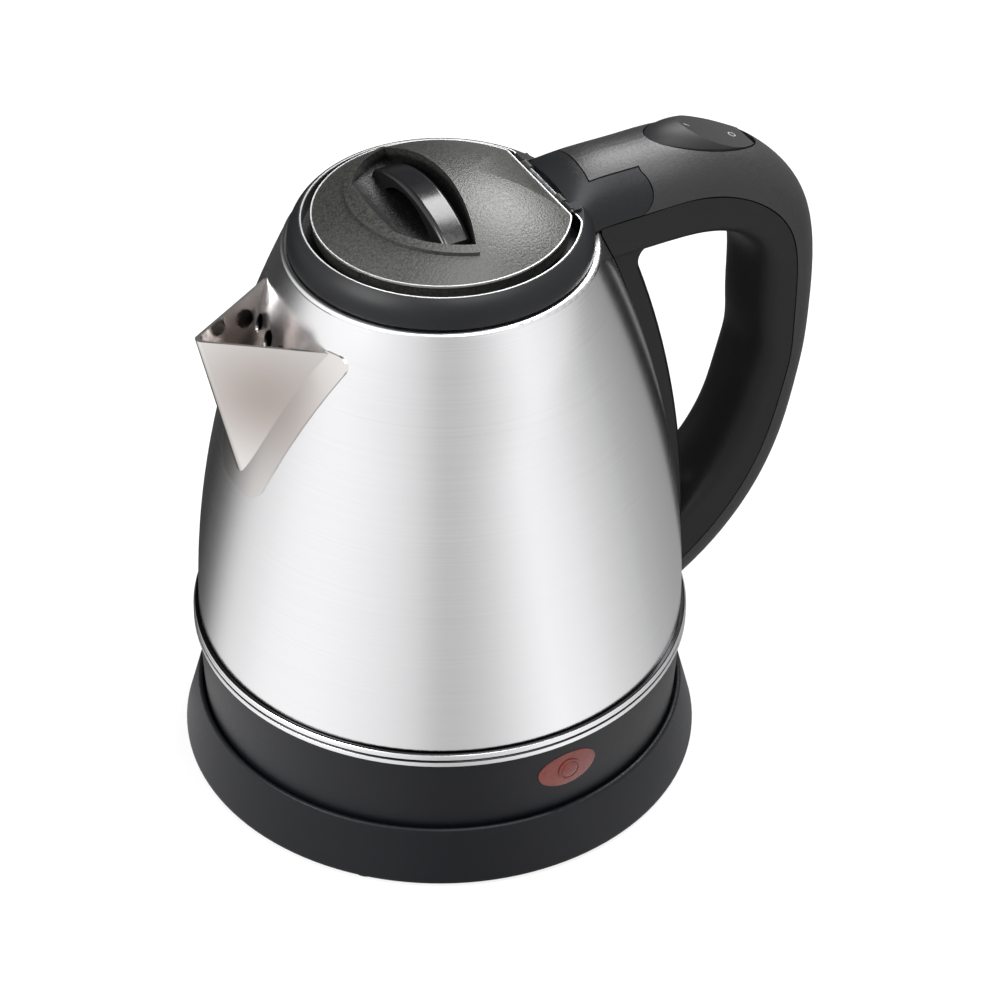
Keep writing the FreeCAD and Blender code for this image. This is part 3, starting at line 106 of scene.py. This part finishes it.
# painted shade: the hollow of a dome, on one side of a line along X and above its rim, is painted darker than
# the dome, where shade falls in it
def shadeRecess(tree, place, color, look):
    axes = addNode(tree, "ShaderNodeSeparateXYZ", {}, {0: place})
    reach = addNode(tree, "ShaderNodeVectorMath", {"operation": "DISTANCE"},
                    {0: place, 1: Vector(look["domeMiddle"]) * mm})
    depth = addNode(tree, "ShaderNodeMapRange", {},
                    {"Value": reach.outputs["Value"], "From Min": look["domeRadius"] * mm,
                     "From Max": (look["domeRadius"] - look["fade"]) * mm})
    inside = addNode(tree, "ShaderNodeMath", {"operation": "LESS_THAN"},
                     {0: axes.outputs["X"], 1: look["front"] * mm})
    above = addNode(tree, "ShaderNodeMath", {"operation": "GREATER_THAN"},
                    {0: axes.outputs["Z"], 1: look["low"] * mm})
    area = addNode(tree, "ShaderNodeMath", {"operation": "MULTIPLY"},
                   {0: inside.outputs[0], 1: above.outputs[0]})
    share = addNode(tree, "ShaderNodeMath", {"operation": "MULTIPLY"},
                    {0: area.outputs[0], 1: depth.outputs[0]})
    return addNode(tree, "ShaderNodeMix", {"data_type": "RGBA"},
                   {0: share.outputs[0], 6: color, 7: hexColor(look["color"])})


# moulded plastics: colour drifts a little over the piece, the grain breaks up the highlights
def mouldedPlastic(look):
    material, tree = newMaterial(look["name"])
    place = addNode(tree, "ShaderNodeTexCoord", {}, {}).outputs["Object"]
    drift = addNode(tree, "ShaderNodeTexNoise", {},
                    {"Vector": place, "Scale": 1 / (look["driftMm"] * mm), "Detail": 2.0})
    grain = addNode(tree, "ShaderNodeTexNoise", {},
                    {"Vector": place, "Scale": 1 / (look["grainMm"] * mm), "Detail": 3.0})
    relief = grain.outputs["Fac"]
    if "grainFromMm" in look:  # smooth on one side of this line along X, grained on the other
        along = addNode(tree, "ShaderNodeSeparateXYZ", {}, {0: place}).outputs["X"]
        area = addNode(tree, "ShaderNodeMapRange", {},
                       {"Value": along, "From Min": (look["grainFromMm"] - look["grainEdgeMm"]) * mm,
                        "From Max": (look["grainFromMm"] + look["grainEdgeMm"]) * mm})
        relief = addNode(tree, "ShaderNodeMix", {},
                         {0: area.outputs[0], 2: 0.5, 3: grain.outputs["Fac"]}).outputs[0]
    speckle = addNode(tree, "ShaderNodeMath", {"operation": "MULTIPLY_ADD"},
                      {0: relief, 1: look["speckle"], 2: 0.5 - look["speckle"] / 2})
    tone = addNode(tree, "ShaderNodeMath", {"operation": "MULTIPLY_ADD"},
                   {0: drift.outputs["Fac"], 1: look["drift"], 2: speckle.outputs[0]})
    color = addNode(tree, "ShaderNodeMix", {"data_type": "RGBA"},
                    {0: tone.outputs[0], 6: hexColor(look["dark"]), 7: hexColor(look["light"])})
    # painted shade in the lid's hollow
    if "recess" in look:
        color = shadeRecess(tree, place, color.outputs[2], look["recess"])
    gloss = addNode(tree, "ShaderNodeMapRange", {},
                    {"Value": relief, "From Min": noiseLow, "From Max": noiseHigh,
                     "To Min": look["roughness"] - look["roughnessSpan"],
                     "To Max": look["roughness"] + look["roughnessSpan"]})
    bump = addNode(tree, "ShaderNodeBump", {},
                   {"Height": relief, "Strength": look["bump"], "Distance": look["depthMm"] * mm})
    shader = addNode(tree, "ShaderNodeBsdfPrincipled", {},
                     {"Base Color": color.outputs[2], "Roughness": gloss.outputs[0],
                      "Normal": bump.outputs[0], "IOR": look["ior"]})
    closeMaterial(tree, shader)
    return material


# ABS from a satin tool: an even charcoal with a soft sheen
satinAbs = mouldedPlastic({
    "name": "satin_charcoal_abs", "dark": "#08090c", "light": "#111217", "drift": 0.3, "driftMm": 22,
    "grainMm": 0.5, "speckle": 0.5, "roughness": 0.42, "roughnessSpan": 0.05, "bump": 0.16,
    "depthMm": 0.05, "ior": 1.3})
# ABS from a spark-eroded tool: matt with a fine pebble grain, drawn a little coarse so that it shows
grainedAbs = mouldedPlastic({
    "name": "grained_charcoal_abs", "dark": "#0c0c0d", "light": "#202021", "drift": 0.3, "driftMm": 18,
    "grainMm": 0.75, "speckle": 1.2, "roughness": 0.44, "roughnessSpan": 0.06, "bump": 0.6,
    "depthMm": 0.12, "ior": 1.5})
# the same grain on the lid, painted lighter than on the handle as a painted sheen where it catches the light:
# olive grey with pale specks; its hollow round the grip is painted darker as painted shade
lidAbs = mouldedPlastic({
    "name": "lid_charcoal_abs", "dark": "#0c0c0c", "light": "#30302d", "drift": 0.3, "driftMm": 18,
    "grainMm": 0.75, "speckle": 2.0, "roughness": 0.4, "roughnessSpan": 0.08, "bump": 1.0,
    "depthMm": 0.14, "ior": 1.52, "recess": {
        "color": "#040404", "domeMiddle": (0, 0, 139.4), "domeRadius": 63.8, "fade": 1.4, "front": 1.6,
        "low": 192.5}})
# the finger side of the handle: smooth, and painted deeper black than the outer shell as painted shade, for
# it faces away from the light
gripShadeAbs = mouldedPlastic({
    "name": "smooth_abs_painted_shade", "dark": "#0a0a0b", "light": "#151516", "drift": 0.3, "driftMm": 18,
    "grainMm": 0.6, "speckle": 0.6, "roughness": 0.46, "roughnessSpan": 0.05, "bump": 0.2,
    "depthMm": 0.06, "ior": 1.32})
# the collar's ring comes from a satin part of its tool, its neck from a grained one
collarAbs = mouldedPlastic({
    "name": "collar_charcoal_abs", "dark": "#0b0c0e", "light": "#1a1b1d", "drift": 0.3, "driftMm": 18,
    "grainMm": 0.75, "speckle": 0.8, "roughness": 0.4, "roughnessSpan": 0.06, "bump": 0.5,
    "depthMm": 0.12, "ior": 1.32, "grainFromMm": 40, "grainEdgeMm": 0.5})
# polished ABS: nearly black, with sharp highlights
glossAbs = mouldedPlastic({
    "name": "polished_black_abs", "dark": "#0d0d0e", "light": "#18181a", "drift": 0.4, "driftMm": 12,
    "grainMm": 1.6, "speckle": 0.2, "roughness": 0.16, "roughnessSpan": 0.02, "bump": 0.03,
    "depthMm": 0.03, "ior": 1.52})
# glass-filled nylon of the inner mechanism: flat black
nylonBlack = mouldedPlastic({
    "name": "black_nylon", "dark": "#111112", "light": "#1d1d1f", "drift": 0.4, "driftMm": 10,
    "grainMm": 0.6, "speckle": 0.5, "roughness": 0.5, "roughnessSpan": 0.05, "bump": 0.15,
    "depthMm": 0.05, "ior": 1.32})
# heat-resisting polyamide of connector and control: warm off-white, dull
palePolyamide = mouldedPlastic({
    "name": "pale_polyamide", "dark": "#b9b09c", "light": "#d3ccba", "drift": 0.4, "driftMm": 14,
    "grainMm": 0.6, "speckle": 0.5, "roughness": 0.55, "roughnessSpan": 0.06, "bump": 0.15,
    "depthMm": 0.05, "ior": 1.53})
# silicone rubber of feet, bush and seals: dark, soft and without shine
siliconeRubber = mouldedPlastic({
    "name": "dark_silicone_rubber", "dark": "#151516", "light": "#222224", "drift": 0.4, "driftMm": 8,
    "grainMm": 0.4, "speckle": 0.6, "roughness": 0.78, "roughnessSpan": 0.06, "bump": 0.25,
    "depthMm": 0.05, "ior": 1.41})
# woven sleeve and silicone of the heat-proof wires: dull red
wireSilicone = mouldedPlastic({
    "name": "red_wire_silicone", "dark": "#5a1410", "light": "#7c2018", "drift": 0.4, "driftMm": 9,
    "grainMm": 0.4, "speckle": 0.6, "roughness": 0.6, "roughnessSpan": 0.06, "bump": 0.2,
    "depthMm": 0.04, "ior": 1.41})
print("plastics made")


# painted reflection: the flat sides of the pressed beak are painted darker in their middle, standing in for a
# dimmer part of the room that they would mirror
def paintedDimReflection(tree, place, color, look):
    side = addNode(tree, "ShaderNodeVectorMath", {"operation": "ABSOLUTE"}, {0: place})
    reach = addNode(tree, "ShaderNodeVectorMath", {"operation": "DISTANCE"},
                    {0: side.outputs[0], 1: Vector(look["middle"]) * mm})
    share = addNode(tree, "ShaderNodeMapRange", {"interpolation_type": "SMOOTHSTEP"},
                    {"Value": reach.outputs["Value"], "From Min": look["radius"] * mm, "From Max": 0.0})
    return addNode(tree, "ShaderNodeMix", {"data_type": "RGBA"},
                   {0: share.outputs[0], 6: color, 7: hexColor(look["color"])})


# painted shade: dark lines are painted at given heights where two rolls or two sheets meet, for the shade in
# the grooves of the rolled edges
def paintedGrooveShade(tree, place, color, look):
    height = addNode(tree, "ShaderNodeSeparateXYZ", {}, {0: place}).outputs["Z"]
    for level, half in look["levels"]:
        away = addNode(tree, "ShaderNodeMath", {"operation": "COMPARE"},
                       {0: height, 1: level * mm, 2: half * mm})
        color = addNode(tree, "ShaderNodeMix", {"data_type": "RGBA"},
                        {0: away.outputs[0], 6: color, 7: hexColor(look["color"])}).outputs[2]
    return color


# metals: fine lines from rolling or spinning run round the axis and vary the gloss
def workedMetal(look):
    material, tree = newMaterial(look["name"])
    place = addNode(tree, "ShaderNodeTexCoord", {}, {}).outputs["Object"]
    run, pitch = 1 / (look["runMm"] * mm), 1 / (look["lineMm"] * mm)
    lined = addNode(tree, "ShaderNodeMapping", {}, {"Vector": place, "Scale": (run, run, pitch)})
    lines = addNode(tree, "ShaderNodeTexNoise", {},
                    {"Vector": lined.outputs[0], "Scale": 1.0, "Detail": 2.0})
    gloss = addNode(tree, "ShaderNodeMapRange", {},
                    {"Value": lines.outputs["Fac"], "From Min": noiseLow, "From Max": noiseHigh,
                     "To Min": look["roughness"] - look["roughnessSpan"],
                     "To Max": look["roughness"] + look["roughnessSpan"]})
    color = addNode(tree, "ShaderNodeMix", {"data_type": "RGBA"},
                    {0: lines.outputs["Fac"], 6: hexColor(look["dark"]), 7: hexColor(look["light"])})
    tint = color.outputs[2]
    # painted reflection: a darker middle on the beak's flat sides
    if "dim" in look:
        tint = paintedDimReflection(tree, place, tint, look["dim"]).outputs[2]
    # painted shade in the grooves of the rolled edges
    if "lines" in look:
        tint = paintedGrooveShade(tree, place, tint, look["lines"])
    bump = addNode(tree, "ShaderNodeBump", {},
                   {"Height": lines.outputs["Fac"], "Strength": look["bump"],
                    "Distance": look["depthMm"] * mm})
    shader = addNode(tree, "ShaderNodeBsdfPrincipled", {},
                     {"Base Color": tint, "Metallic": 1.0, "Roughness": gloss.outputs[0],
                      "Normal": bump.outputs[0], "Anisotropic": look["brushed"]})
    if look["brushed"]:
        around = addNode(tree, "ShaderNodeTangent", {"direction_type": "RADIAL", "axis": "Z"}, {})
        tree.links.new(around.outputs[0], shader.inputs["Tangent"])
    closeMaterial(tree, shader)
    return material


# stainless sheet, spun and polished round the jug: a soft mirror that streaks up and down
spunStainless = workedMetal({
    "name": "spun_stainless", "dark": "#dfdfe1", "light": "#e7e7e8", "runMm": 90, "lineMm": 0.35,
    "roughness": 0.2, "roughnessSpan": 0.02, "bump": 0.004, "depthMm": 0.01, "brushed": 0.5,
    # the dark lines are painted shade in the grooves of the bottom bead and its seams
    "lines": {"color": "#2c2c2d", "levels": ((46.9, 0.45), (49.5, 0.35), (44.5, 0.3))}})
# stainless sheet, pressed and polished: the spout mirrors what is near it, and the darker middle of the
# beak's flat sides is a painted reflection
polishedStainless = workedMetal({
    "name": "polished_stainless", "dark": "#d6d3d1", "light": "#e0dddb", "runMm": 25, "lineMm": 25,
    "roughness": 0.12, "roughnessSpan": 0.02, "bump": 0.003, "depthMm": 0.02, "brushed": 0.0,
    "dim": {"color": "#aca39e", "middle": (63.0, 10.0, 152.0), "radius": 36.0}})
# bright-plated rings: thin silver lines
brightPlate = workedMetal({
    "name": "bright_plate", "dark": "#d2d2d3", "light": "#e6e6e6", "runMm": 20, "lineMm": 0.8,
    "roughness": 0.36, "roughnessSpan": 0.04, "bump": 0.02, "depthMm": 0.01, "brushed": 0.0})
# zinc-plated steel of screws, pins and brackets: grey and slightly cloudy
zincSteel = workedMetal({
    "name": "zinc_plated_steel", "dark": "#8e9092", "light": "#b4b6b8", "runMm": 3, "lineMm": 1.5,
    "roughness": 0.36, "roughnessSpan": 0.06, "bump": 0.05, "depthMm": 0.02, "brushed": 0.0})
# rolled brass of the contacts: warm yellow with rubbed streaks
contactBrass = workedMetal({
    "name": "contact_brass", "dark": "#a9853a", "light": "#cda955", "runMm": 8, "lineMm": 0.8,
    "roughness": 0.3, "roughnessSpan": 0.06, "bump": 0.04, "depthMm": 0.02, "brushed": 0.0})
# cast and drawn aluminium of the heater: pale and dull
dullAluminium = workedMetal({
    "name": "dull_aluminium", "dark": "#a5a6a8", "light": "#c6c7c8", "runMm": 4, "lineMm": 2,
    "roughness": 0.45, "roughnessSpan": 0.08, "bump": 0.08, "depthMm": 0.03, "brushed": 0.0})
print("metals made")


# acrylic of the lamp window: brick red, clear to a little depth, with cloudy flecks from moulding
lensLook = {"name": "brick_red_acrylic", "deep": "#5c201b", "pale": "#843a31", "cloudMm": 2.5,
            "roughness": 0.14, "ior": 1.49, "clear": 0.25, "bump": 0.1, "depthMm": 0.1}


def tintedAcrylic(look):
    material, tree = newMaterial(look["name"])
    place = addNode(tree, "ShaderNodeTexCoord", {}, {}).outputs["Object"]
    cloud = addNode(tree, "ShaderNodeTexNoise", {},
                    {"Vector": place, "Scale": 1 / (look["cloudMm"] * mm), "Detail": 4.0})
    color = addNode(tree, "ShaderNodeMix", {"data_type": "RGBA"},
                    {0: cloud.outputs["Fac"], 6: hexColor(look["deep"]), 7: hexColor(look["pale"])})
    bump = addNode(tree, "ShaderNodeBump", {},
                   {"Height": cloud.outputs["Fac"], "Strength": look["bump"],
                    "Distance": look["depthMm"] * mm})
    shader = addNode(tree, "ShaderNodeBsdfPrincipled", {},
                     {"Base Color": color.outputs[2], "Roughness": look["roughness"], "IOR": look["ior"],
                      "Transmission Weight": look["clear"], "Normal": bump.outputs[0]})
    closeMaterial(tree, shader)
    return material


lensAcrylic = tintedAcrylic(lensLook)
# glass of the small lamp: warm and clear
lampGlass = tintedAcrylic({"name": "lamp_glass", "deep": "#c98a55", "pale": "#e0b080", "cloudMm": 3,
                           "roughness": 0.06, "ior": 1.5, "clear": 0.6, "bump": 0.1, "depthMm": 0.1})
# raised marks on the switch: painted pale matt grey as a painted highlight on their relief
markHighlightGrey = mouldedPlastic({
    "name": "grey_mark_painted_highlight", "dark": "#6c6c69", "light": "#8a8a86", "drift": 0.4, "driftMm": 2,
    "grainMm": 0.3, "speckle": 0.6, "roughness": 0.5, "roughnessSpan": 0.05, "bump": 0.1,
    "depthMm": 0.02, "ior": 1.5})
# the pale grey of the rocker marks is a painted highlight
print("acrylic and print made")

# which finish each node takes
finishes = {
    "base_top_cover": satinAbs, "base_bottom_cover": satinAbs, "skirt": satinAbs, "collar": collarAbs,
    "handle_inner_shell": gripShadeAbs, "lid_base": satinAbs, "lid_cover": lidAbs,
    "handle_outer_shell": grainedAbs, "lid_grip": glossAbs, "rocker": nylonBlack,
    "switch_lever": nylonBlack, "lamp_clip": nylonBlack, "body_shell": spunStainless,
    "spout": polishedStainless, "heater_plate": polishedStainless, "collar_trim": brightPlate,
    "lid_trim": brightPlate, "base_screws": zincSteel, "skirt_screws": zincSteel,
    "plate_studs": zincSteel, "lid_hinge_pin": zincSteel, "lid_screws": zincSteel,
    "handle_screws": zincSteel, "handle_brackets": zincSteel, "rocker_pin": zincSteel,
    "lever_pin": zincSteel, "control_bimetals": zincSteel, "steam_bimetal": zincSteel,
    "base_feet": siliconeRubber, "cord_gland": siliconeRubber, "collar_seal": siliconeRubber,
    "lid_seal": siliconeRubber, "base_contacts": contactBrass, "socket_contacts": contactBrass,
    "heat_diffuser": dullAluminium, "heating_element": dullAluminium,
    "base_connector": palePolyamide, "kettle_socket": palePolyamide,
    "thermostat_control": palePolyamide, "steam_switch": palePolyamide,
    "handle_wires": wireSilicone, "indicator_lens": lensAcrylic, "indicator_lamp": lampGlass,
}
for name, node in nodes.items():
    node.data.materials.clear()
    node.data.materials.append(finishes[name])
print("finishes given to", len(finishes), "nodes")


# edges sharper than this stay crisp, and corners nearer than this are one
smoothDegrees = 40
weldMm = 0.001


def startEdit(piece, name):
    piece.name = name
    bpy.ops.object.mode_set(mode="EDIT")
    bpy.ops.mesh.select_mode(type="FACE")
    bpy.ops.mesh.select_all(action="SELECT")


def closePiece(piece, pose, material, body, roundMm):
    bpy.ops.mesh.select_all(action="SELECT")
    bpy.ops.mesh.remove_doubles(threshold=weldMm * mm)
    bpy.ops.mesh.normals_make_consistent(inside=False)
    bpy.ops.object.mode_set(mode="OBJECT")
    edge = piece.modifiers.new("soft_edges", "BEVEL")
    edge.width = roundMm * mm
    edge.segments = 2
    edge.limit_method = "ANGLE"
    bpy.ops.object.modifier_apply(modifier=edge.name)
    piece.matrix_world = pose
    bpy.ops.object.transform_apply(location=True, rotation=True, scale=True)
    bpy.ops.object.shade_smooth_by_angle(angle=radians(smoothDegrees))
    piece.data.materials.append(material)
    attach(piece, body)
    piece.select_set(False)


# raised marks in the hollow of the rocker, painted pale grey as a painted highlight, in millimetres along the
# rocker from its middle
rockerMarks = {"middle": (86.3, 0.0, 189.85), "tilt": 19.8, "dishMiddle": (16.096, 112.928),
               "dishRadius": 110.63, "ringAt": 11.4, "ringRadius": 1.3, "ringLine": 0.4,
               "ringVertices": 40, "barAt": -6.6, "barLength": 2.4, "barWidth": 0.45,
               "thickness": 0.08, "sunk": 0.03, "round": 0.02}


def onRocker(look, along):
    drop = (along - look["dishMiddle"][0]) / look["dishRadius"]
    level = look["dishMiddle"][1] - look["dishRadius"] * (1 - drop ** 2) ** 0.5
    spot = Matrix.Translation(Vector((along, 0, level - look["sunk"])) * mm)
    slope = Matrix.Rotation(-drop, 4, "Y")
    return (Matrix.Translation(Vector(look["middle"]) * mm)
            @ Matrix.Rotation(radians(look["tilt"]), 4, "Y") @ spot @ slope)


def raiseRingMark(look):
    bpy.ops.mesh.primitive_circle_add(vertices=look["ringVertices"], radius=look["ringRadius"] * mm,
                                      fill_type="NGON")
    ring = bpy.context.object
    startEdit(ring, "rocker_ring_mark")
    bpy.ops.mesh.inset(thickness=look["ringLine"] * mm)
    bpy.ops.mesh.delete(type="FACE")
    bpy.ops.mesh.select_all(action="SELECT")
    bpy.ops.mesh.extrude_region_move(TRANSFORM_OT_translate={"value": (0, 0, look["thickness"] * mm)})
    closePiece(ring, onRocker(look, look["ringAt"]), markHighlightGrey, "rocker",
               look["round"])


def raiseBarMark(look):
    bpy.ops.mesh.primitive_plane_add(size=1.0)
    bar = bpy.context.object
    startEdit(bar, "rocker_bar_mark")
    bpy.ops.transform.resize(value=(look["barLength"] * mm, look["barWidth"] * mm, 1))
    bpy.ops.mesh.extrude_region_move(TRANSFORM_OT_translate={"value": (0, 0, look["thickness"] * mm)})
    closePiece(bar, onRocker(look, look["barAt"]), markHighlightGrey, "rocker",
               look["round"])


raiseRingMark(rockerMarks)
raiseBarMark(rockerMarks)
print("rocker marked")

# round eye in the middle of the lamp window: a lip, a groove and a low dome, each step scale and lift
lensEye = {"turn": 3.0, "height": 34.0, "reach": 75.1, "radius": 3.7, "vertices": 48, "round": 0.03,
           "steps": ((1.0, 0.45), (0.96, 0.12), (0.9, 0.02), (0.94, -0.22), (0.97, 0.0), (0.92, 0.28),
                     (0.86, 0.2), (0.76, 0.15), (0.55, 0.1), (0.2, 0.03))}


def raiseEye(look):
    bpy.ops.mesh.primitive_circle_add(vertices=look["vertices"], radius=look["radius"] * mm, fill_type="NGON")
    eye = bpy.context.object
    startEdit(eye, "lens_eye")
    for scale, lift in look["steps"]:
        bpy.ops.mesh.extrude_region_move(TRANSFORM_OT_translate={"value": (0, 0, lift * mm)})
        bpy.ops.transform.resize(value=(scale, scale, 1))
    turn = radians(look["turn"])
    along = Vector((cos(turn), sin(turn), 0))
    out = Vector((sin(turn), -cos(turn), 0))
    pose = Matrix((along, Vector((0, 0, 1)), out)).transposed().to_4x4()
    pose.translation = (out * look["reach"] + Vector((0, 0, look["height"]))) * mm
    closePiece(eye, pose, lensAcrylic, "kettle", look["round"])


raiseEye(lensEye)
print("lamp window finished")

# bands of brightness painted by compass turn on the world and the floor, which glow in them for glossy rays
# alone and stand in for grey boards and white boxes round the kettle out of view; bright metal shows them as
# upright bands. Each stop is a compass turn from the camera towards the handle, and a brightness; top is the
# brightness that the ramp's full white stands for
glossyGlowBands = {"cameraTurn": 118.0, "blend": "CARDINAL", "floorSpan": 0.8, "top": 1.3,
              "stops": ((-180, 0.06), (-152, 0.07), (-133, 0.27), (-117, 0.79), (-93, 1.07), (-74, 1.19),
                        (-46, 1.15), (-21, 0.98), (-11, 0.86), (3, 0.64), (28, 0.86), (48, 1.15),
                        (59, 1.15), (83, 0.93), (112, 0.62), (132, 0.46), (180, 0.3))}


def glossyGlowLevel(tree, place, look, span):
    turned = addNode(tree, "ShaderNodeMapping", {},
                     {"Vector": place, "Rotation": (0, 0, radians(look["cameraTurn"]))})
    axes = addNode(tree, "ShaderNodeSeparateXYZ", {}, {0: turned.outputs[0]})
    angle = addNode(tree, "ShaderNodeMath", {"operation": "ARCTAN2"},
                    {0: axes.outputs["Y"], 1: axes.outputs["X"]})
    share = addNode(tree, "ShaderNodeMapRange", {},
                    {"Value": angle.outputs[0], "From Min": radians(-180 * span),
                     "From Max": radians(180 * span)})
    bands = addNode(tree, "ShaderNodeValToRGB", {}, {0: share.outputs[0]})
    ramp = bands.color_ramp
    ramp.interpolation = look["blend"]
    for turn, level in look["stops"][1:-1]:
        ramp.elements.new(turn / 360 + 0.5)
    for element, (turn, level) in zip(ramp.elements, look["stops"]):
        element.position = turn / 360 + 0.5
        grey = level / look["top"]
        element.color = (grey, grey, grey, 1)
    lifted = addNode(tree, "ShaderNodeVectorMath", {"operation": "SCALE"},
                     {0: bands.outputs[0], "Scale": look["top"]})
    return lifted.outputs[0]


# what a ray meets away from the kettle: white for the eye, the painted bands for a bright surface
def seenLevel(tree, place, unseen, span, clearShare):
    path = addNode(tree, "ShaderNodeLightPath", {}, {})
    clear = addNode(tree, "ShaderNodeMath", {"operation": "MAXIMUM"},
                    {0: path.outputs["Is Camera Ray"], 1: path.outputs["Is Transmission Ray"]})
    plain = addNode(tree, "ShaderNodeMix", {"data_type": "RGBA"},
                    {0: clear.outputs[0], 6: (unseen, unseen, unseen, 1), 7: (1, 1, 1, 1)})
    level = addNode(tree, "ShaderNodeMix", {"data_type": "RGBA"},
                    {0: path.outputs["Is Glossy Ray"], 6: plain.outputs[2],
                     7: glossyGlowLevel(tree, place, glossyGlowBands, span)})
    own = addNode(tree, "ShaderNodeMath", {"operation": "MULTIPLY"}, {0: clear.outputs[0], 1: clearShare})
    seen = addNode(tree, "ShaderNodeMath", {"operation": "MAXIMUM"},
                   {0: own.outputs[0], 1: path.outputs["Is Glossy Ray"]})
    return level.outputs[2], seen.outputs[0]


# floor, white to the eye with a soft shadow, and glowing in the painted bands to bright metal
floorLook = {"size": 6.0, "color": "#f4f4f4", "selfWhite": 0.82}


def layFloor(look):
    bpy.ops.mesh.primitive_plane_add(size=look["size"])
    floor = bpy.context.object
    floor.name = "floor"
    material, tree = newMaterial("white_studio_floor")
    place = addNode(tree, "ShaderNodeTexCoord", {}, {}).outputs["Object"]
    level, seen = seenLevel(tree, place, 0.0, glossyGlowBands["floorSpan"], look["selfWhite"])
    matt = addNode(tree, "ShaderNodeBsdfDiffuse", {}, {"Color": hexColor(look["color"])})
    white = addNode(tree, "ShaderNodeEmission", {}, {"Color": level, "Strength": 1.0})
    mixed = addNode(tree, "ShaderNodeMixShader", {}, {0: seen, 1: matt.outputs[0], 2: white.outputs[0]})
    closeMaterial(tree, mixed)
    floor.data.materials.append(material)


layFloor(floorLook)

# room light: white where it is seen, gentler where it only lights
roomLook = {"lights": 0.35}


def lightRoom(look):
    world = bpy.data.worlds.new("studio_room")
    world.use_nodes = True
    tree = world.node_tree
    tree.nodes.clear()
    place = addNode(tree, "ShaderNodeTexCoord", {}, {}).outputs["Generated"]
    level, seen = seenLevel(tree, place, look["lights"], 1.0, 1.0)
    glow = addNode(tree, "ShaderNodeBackground", {}, {"Color": level, "Strength": 1.0})
    addNode(tree, "ShaderNodeOutputWorld", {}, {"Surface": glow.outputs[0]})
    scene.world = world


lightRoom(roomLook)

# soft boxes: compass turn from -Y towards +X, height angle, distance from their aim and size in metres,
# watts
boxAim = Vector((0, 0, 0.1))
softBoxes = {
    "key_box": {"turn": 10, "rise": 66, "distance": 1.2, "size": 0.8, "power": 12},
    "left_box": {"turn": -85, "rise": 35, "distance": 1.3, "size": 0.7, "power": 14},
    "back_box": {"turn": 118, "rise": 50, "distance": 1.3, "size": 0.8, "power": 24},
}


def hangBox(name, look):
    turn, rise = radians(look["turn"]), radians(look["rise"])
    out = Vector((sin(turn) * cos(rise), -cos(turn) * cos(rise), sin(rise)))
    bpy.ops.object.light_add(type="AREA", location=boxAim + out * look["distance"])
    lamp = bpy.context.object
    lamp.name = name
    lamp.rotation_euler = out.to_track_quat("Z", "Y").to_euler()
    lamp.data.size = look["size"]
    lamp.data.energy = look["power"]


for name, look in softBoxes.items():
    hangBox(name, look)
print("studio lit")
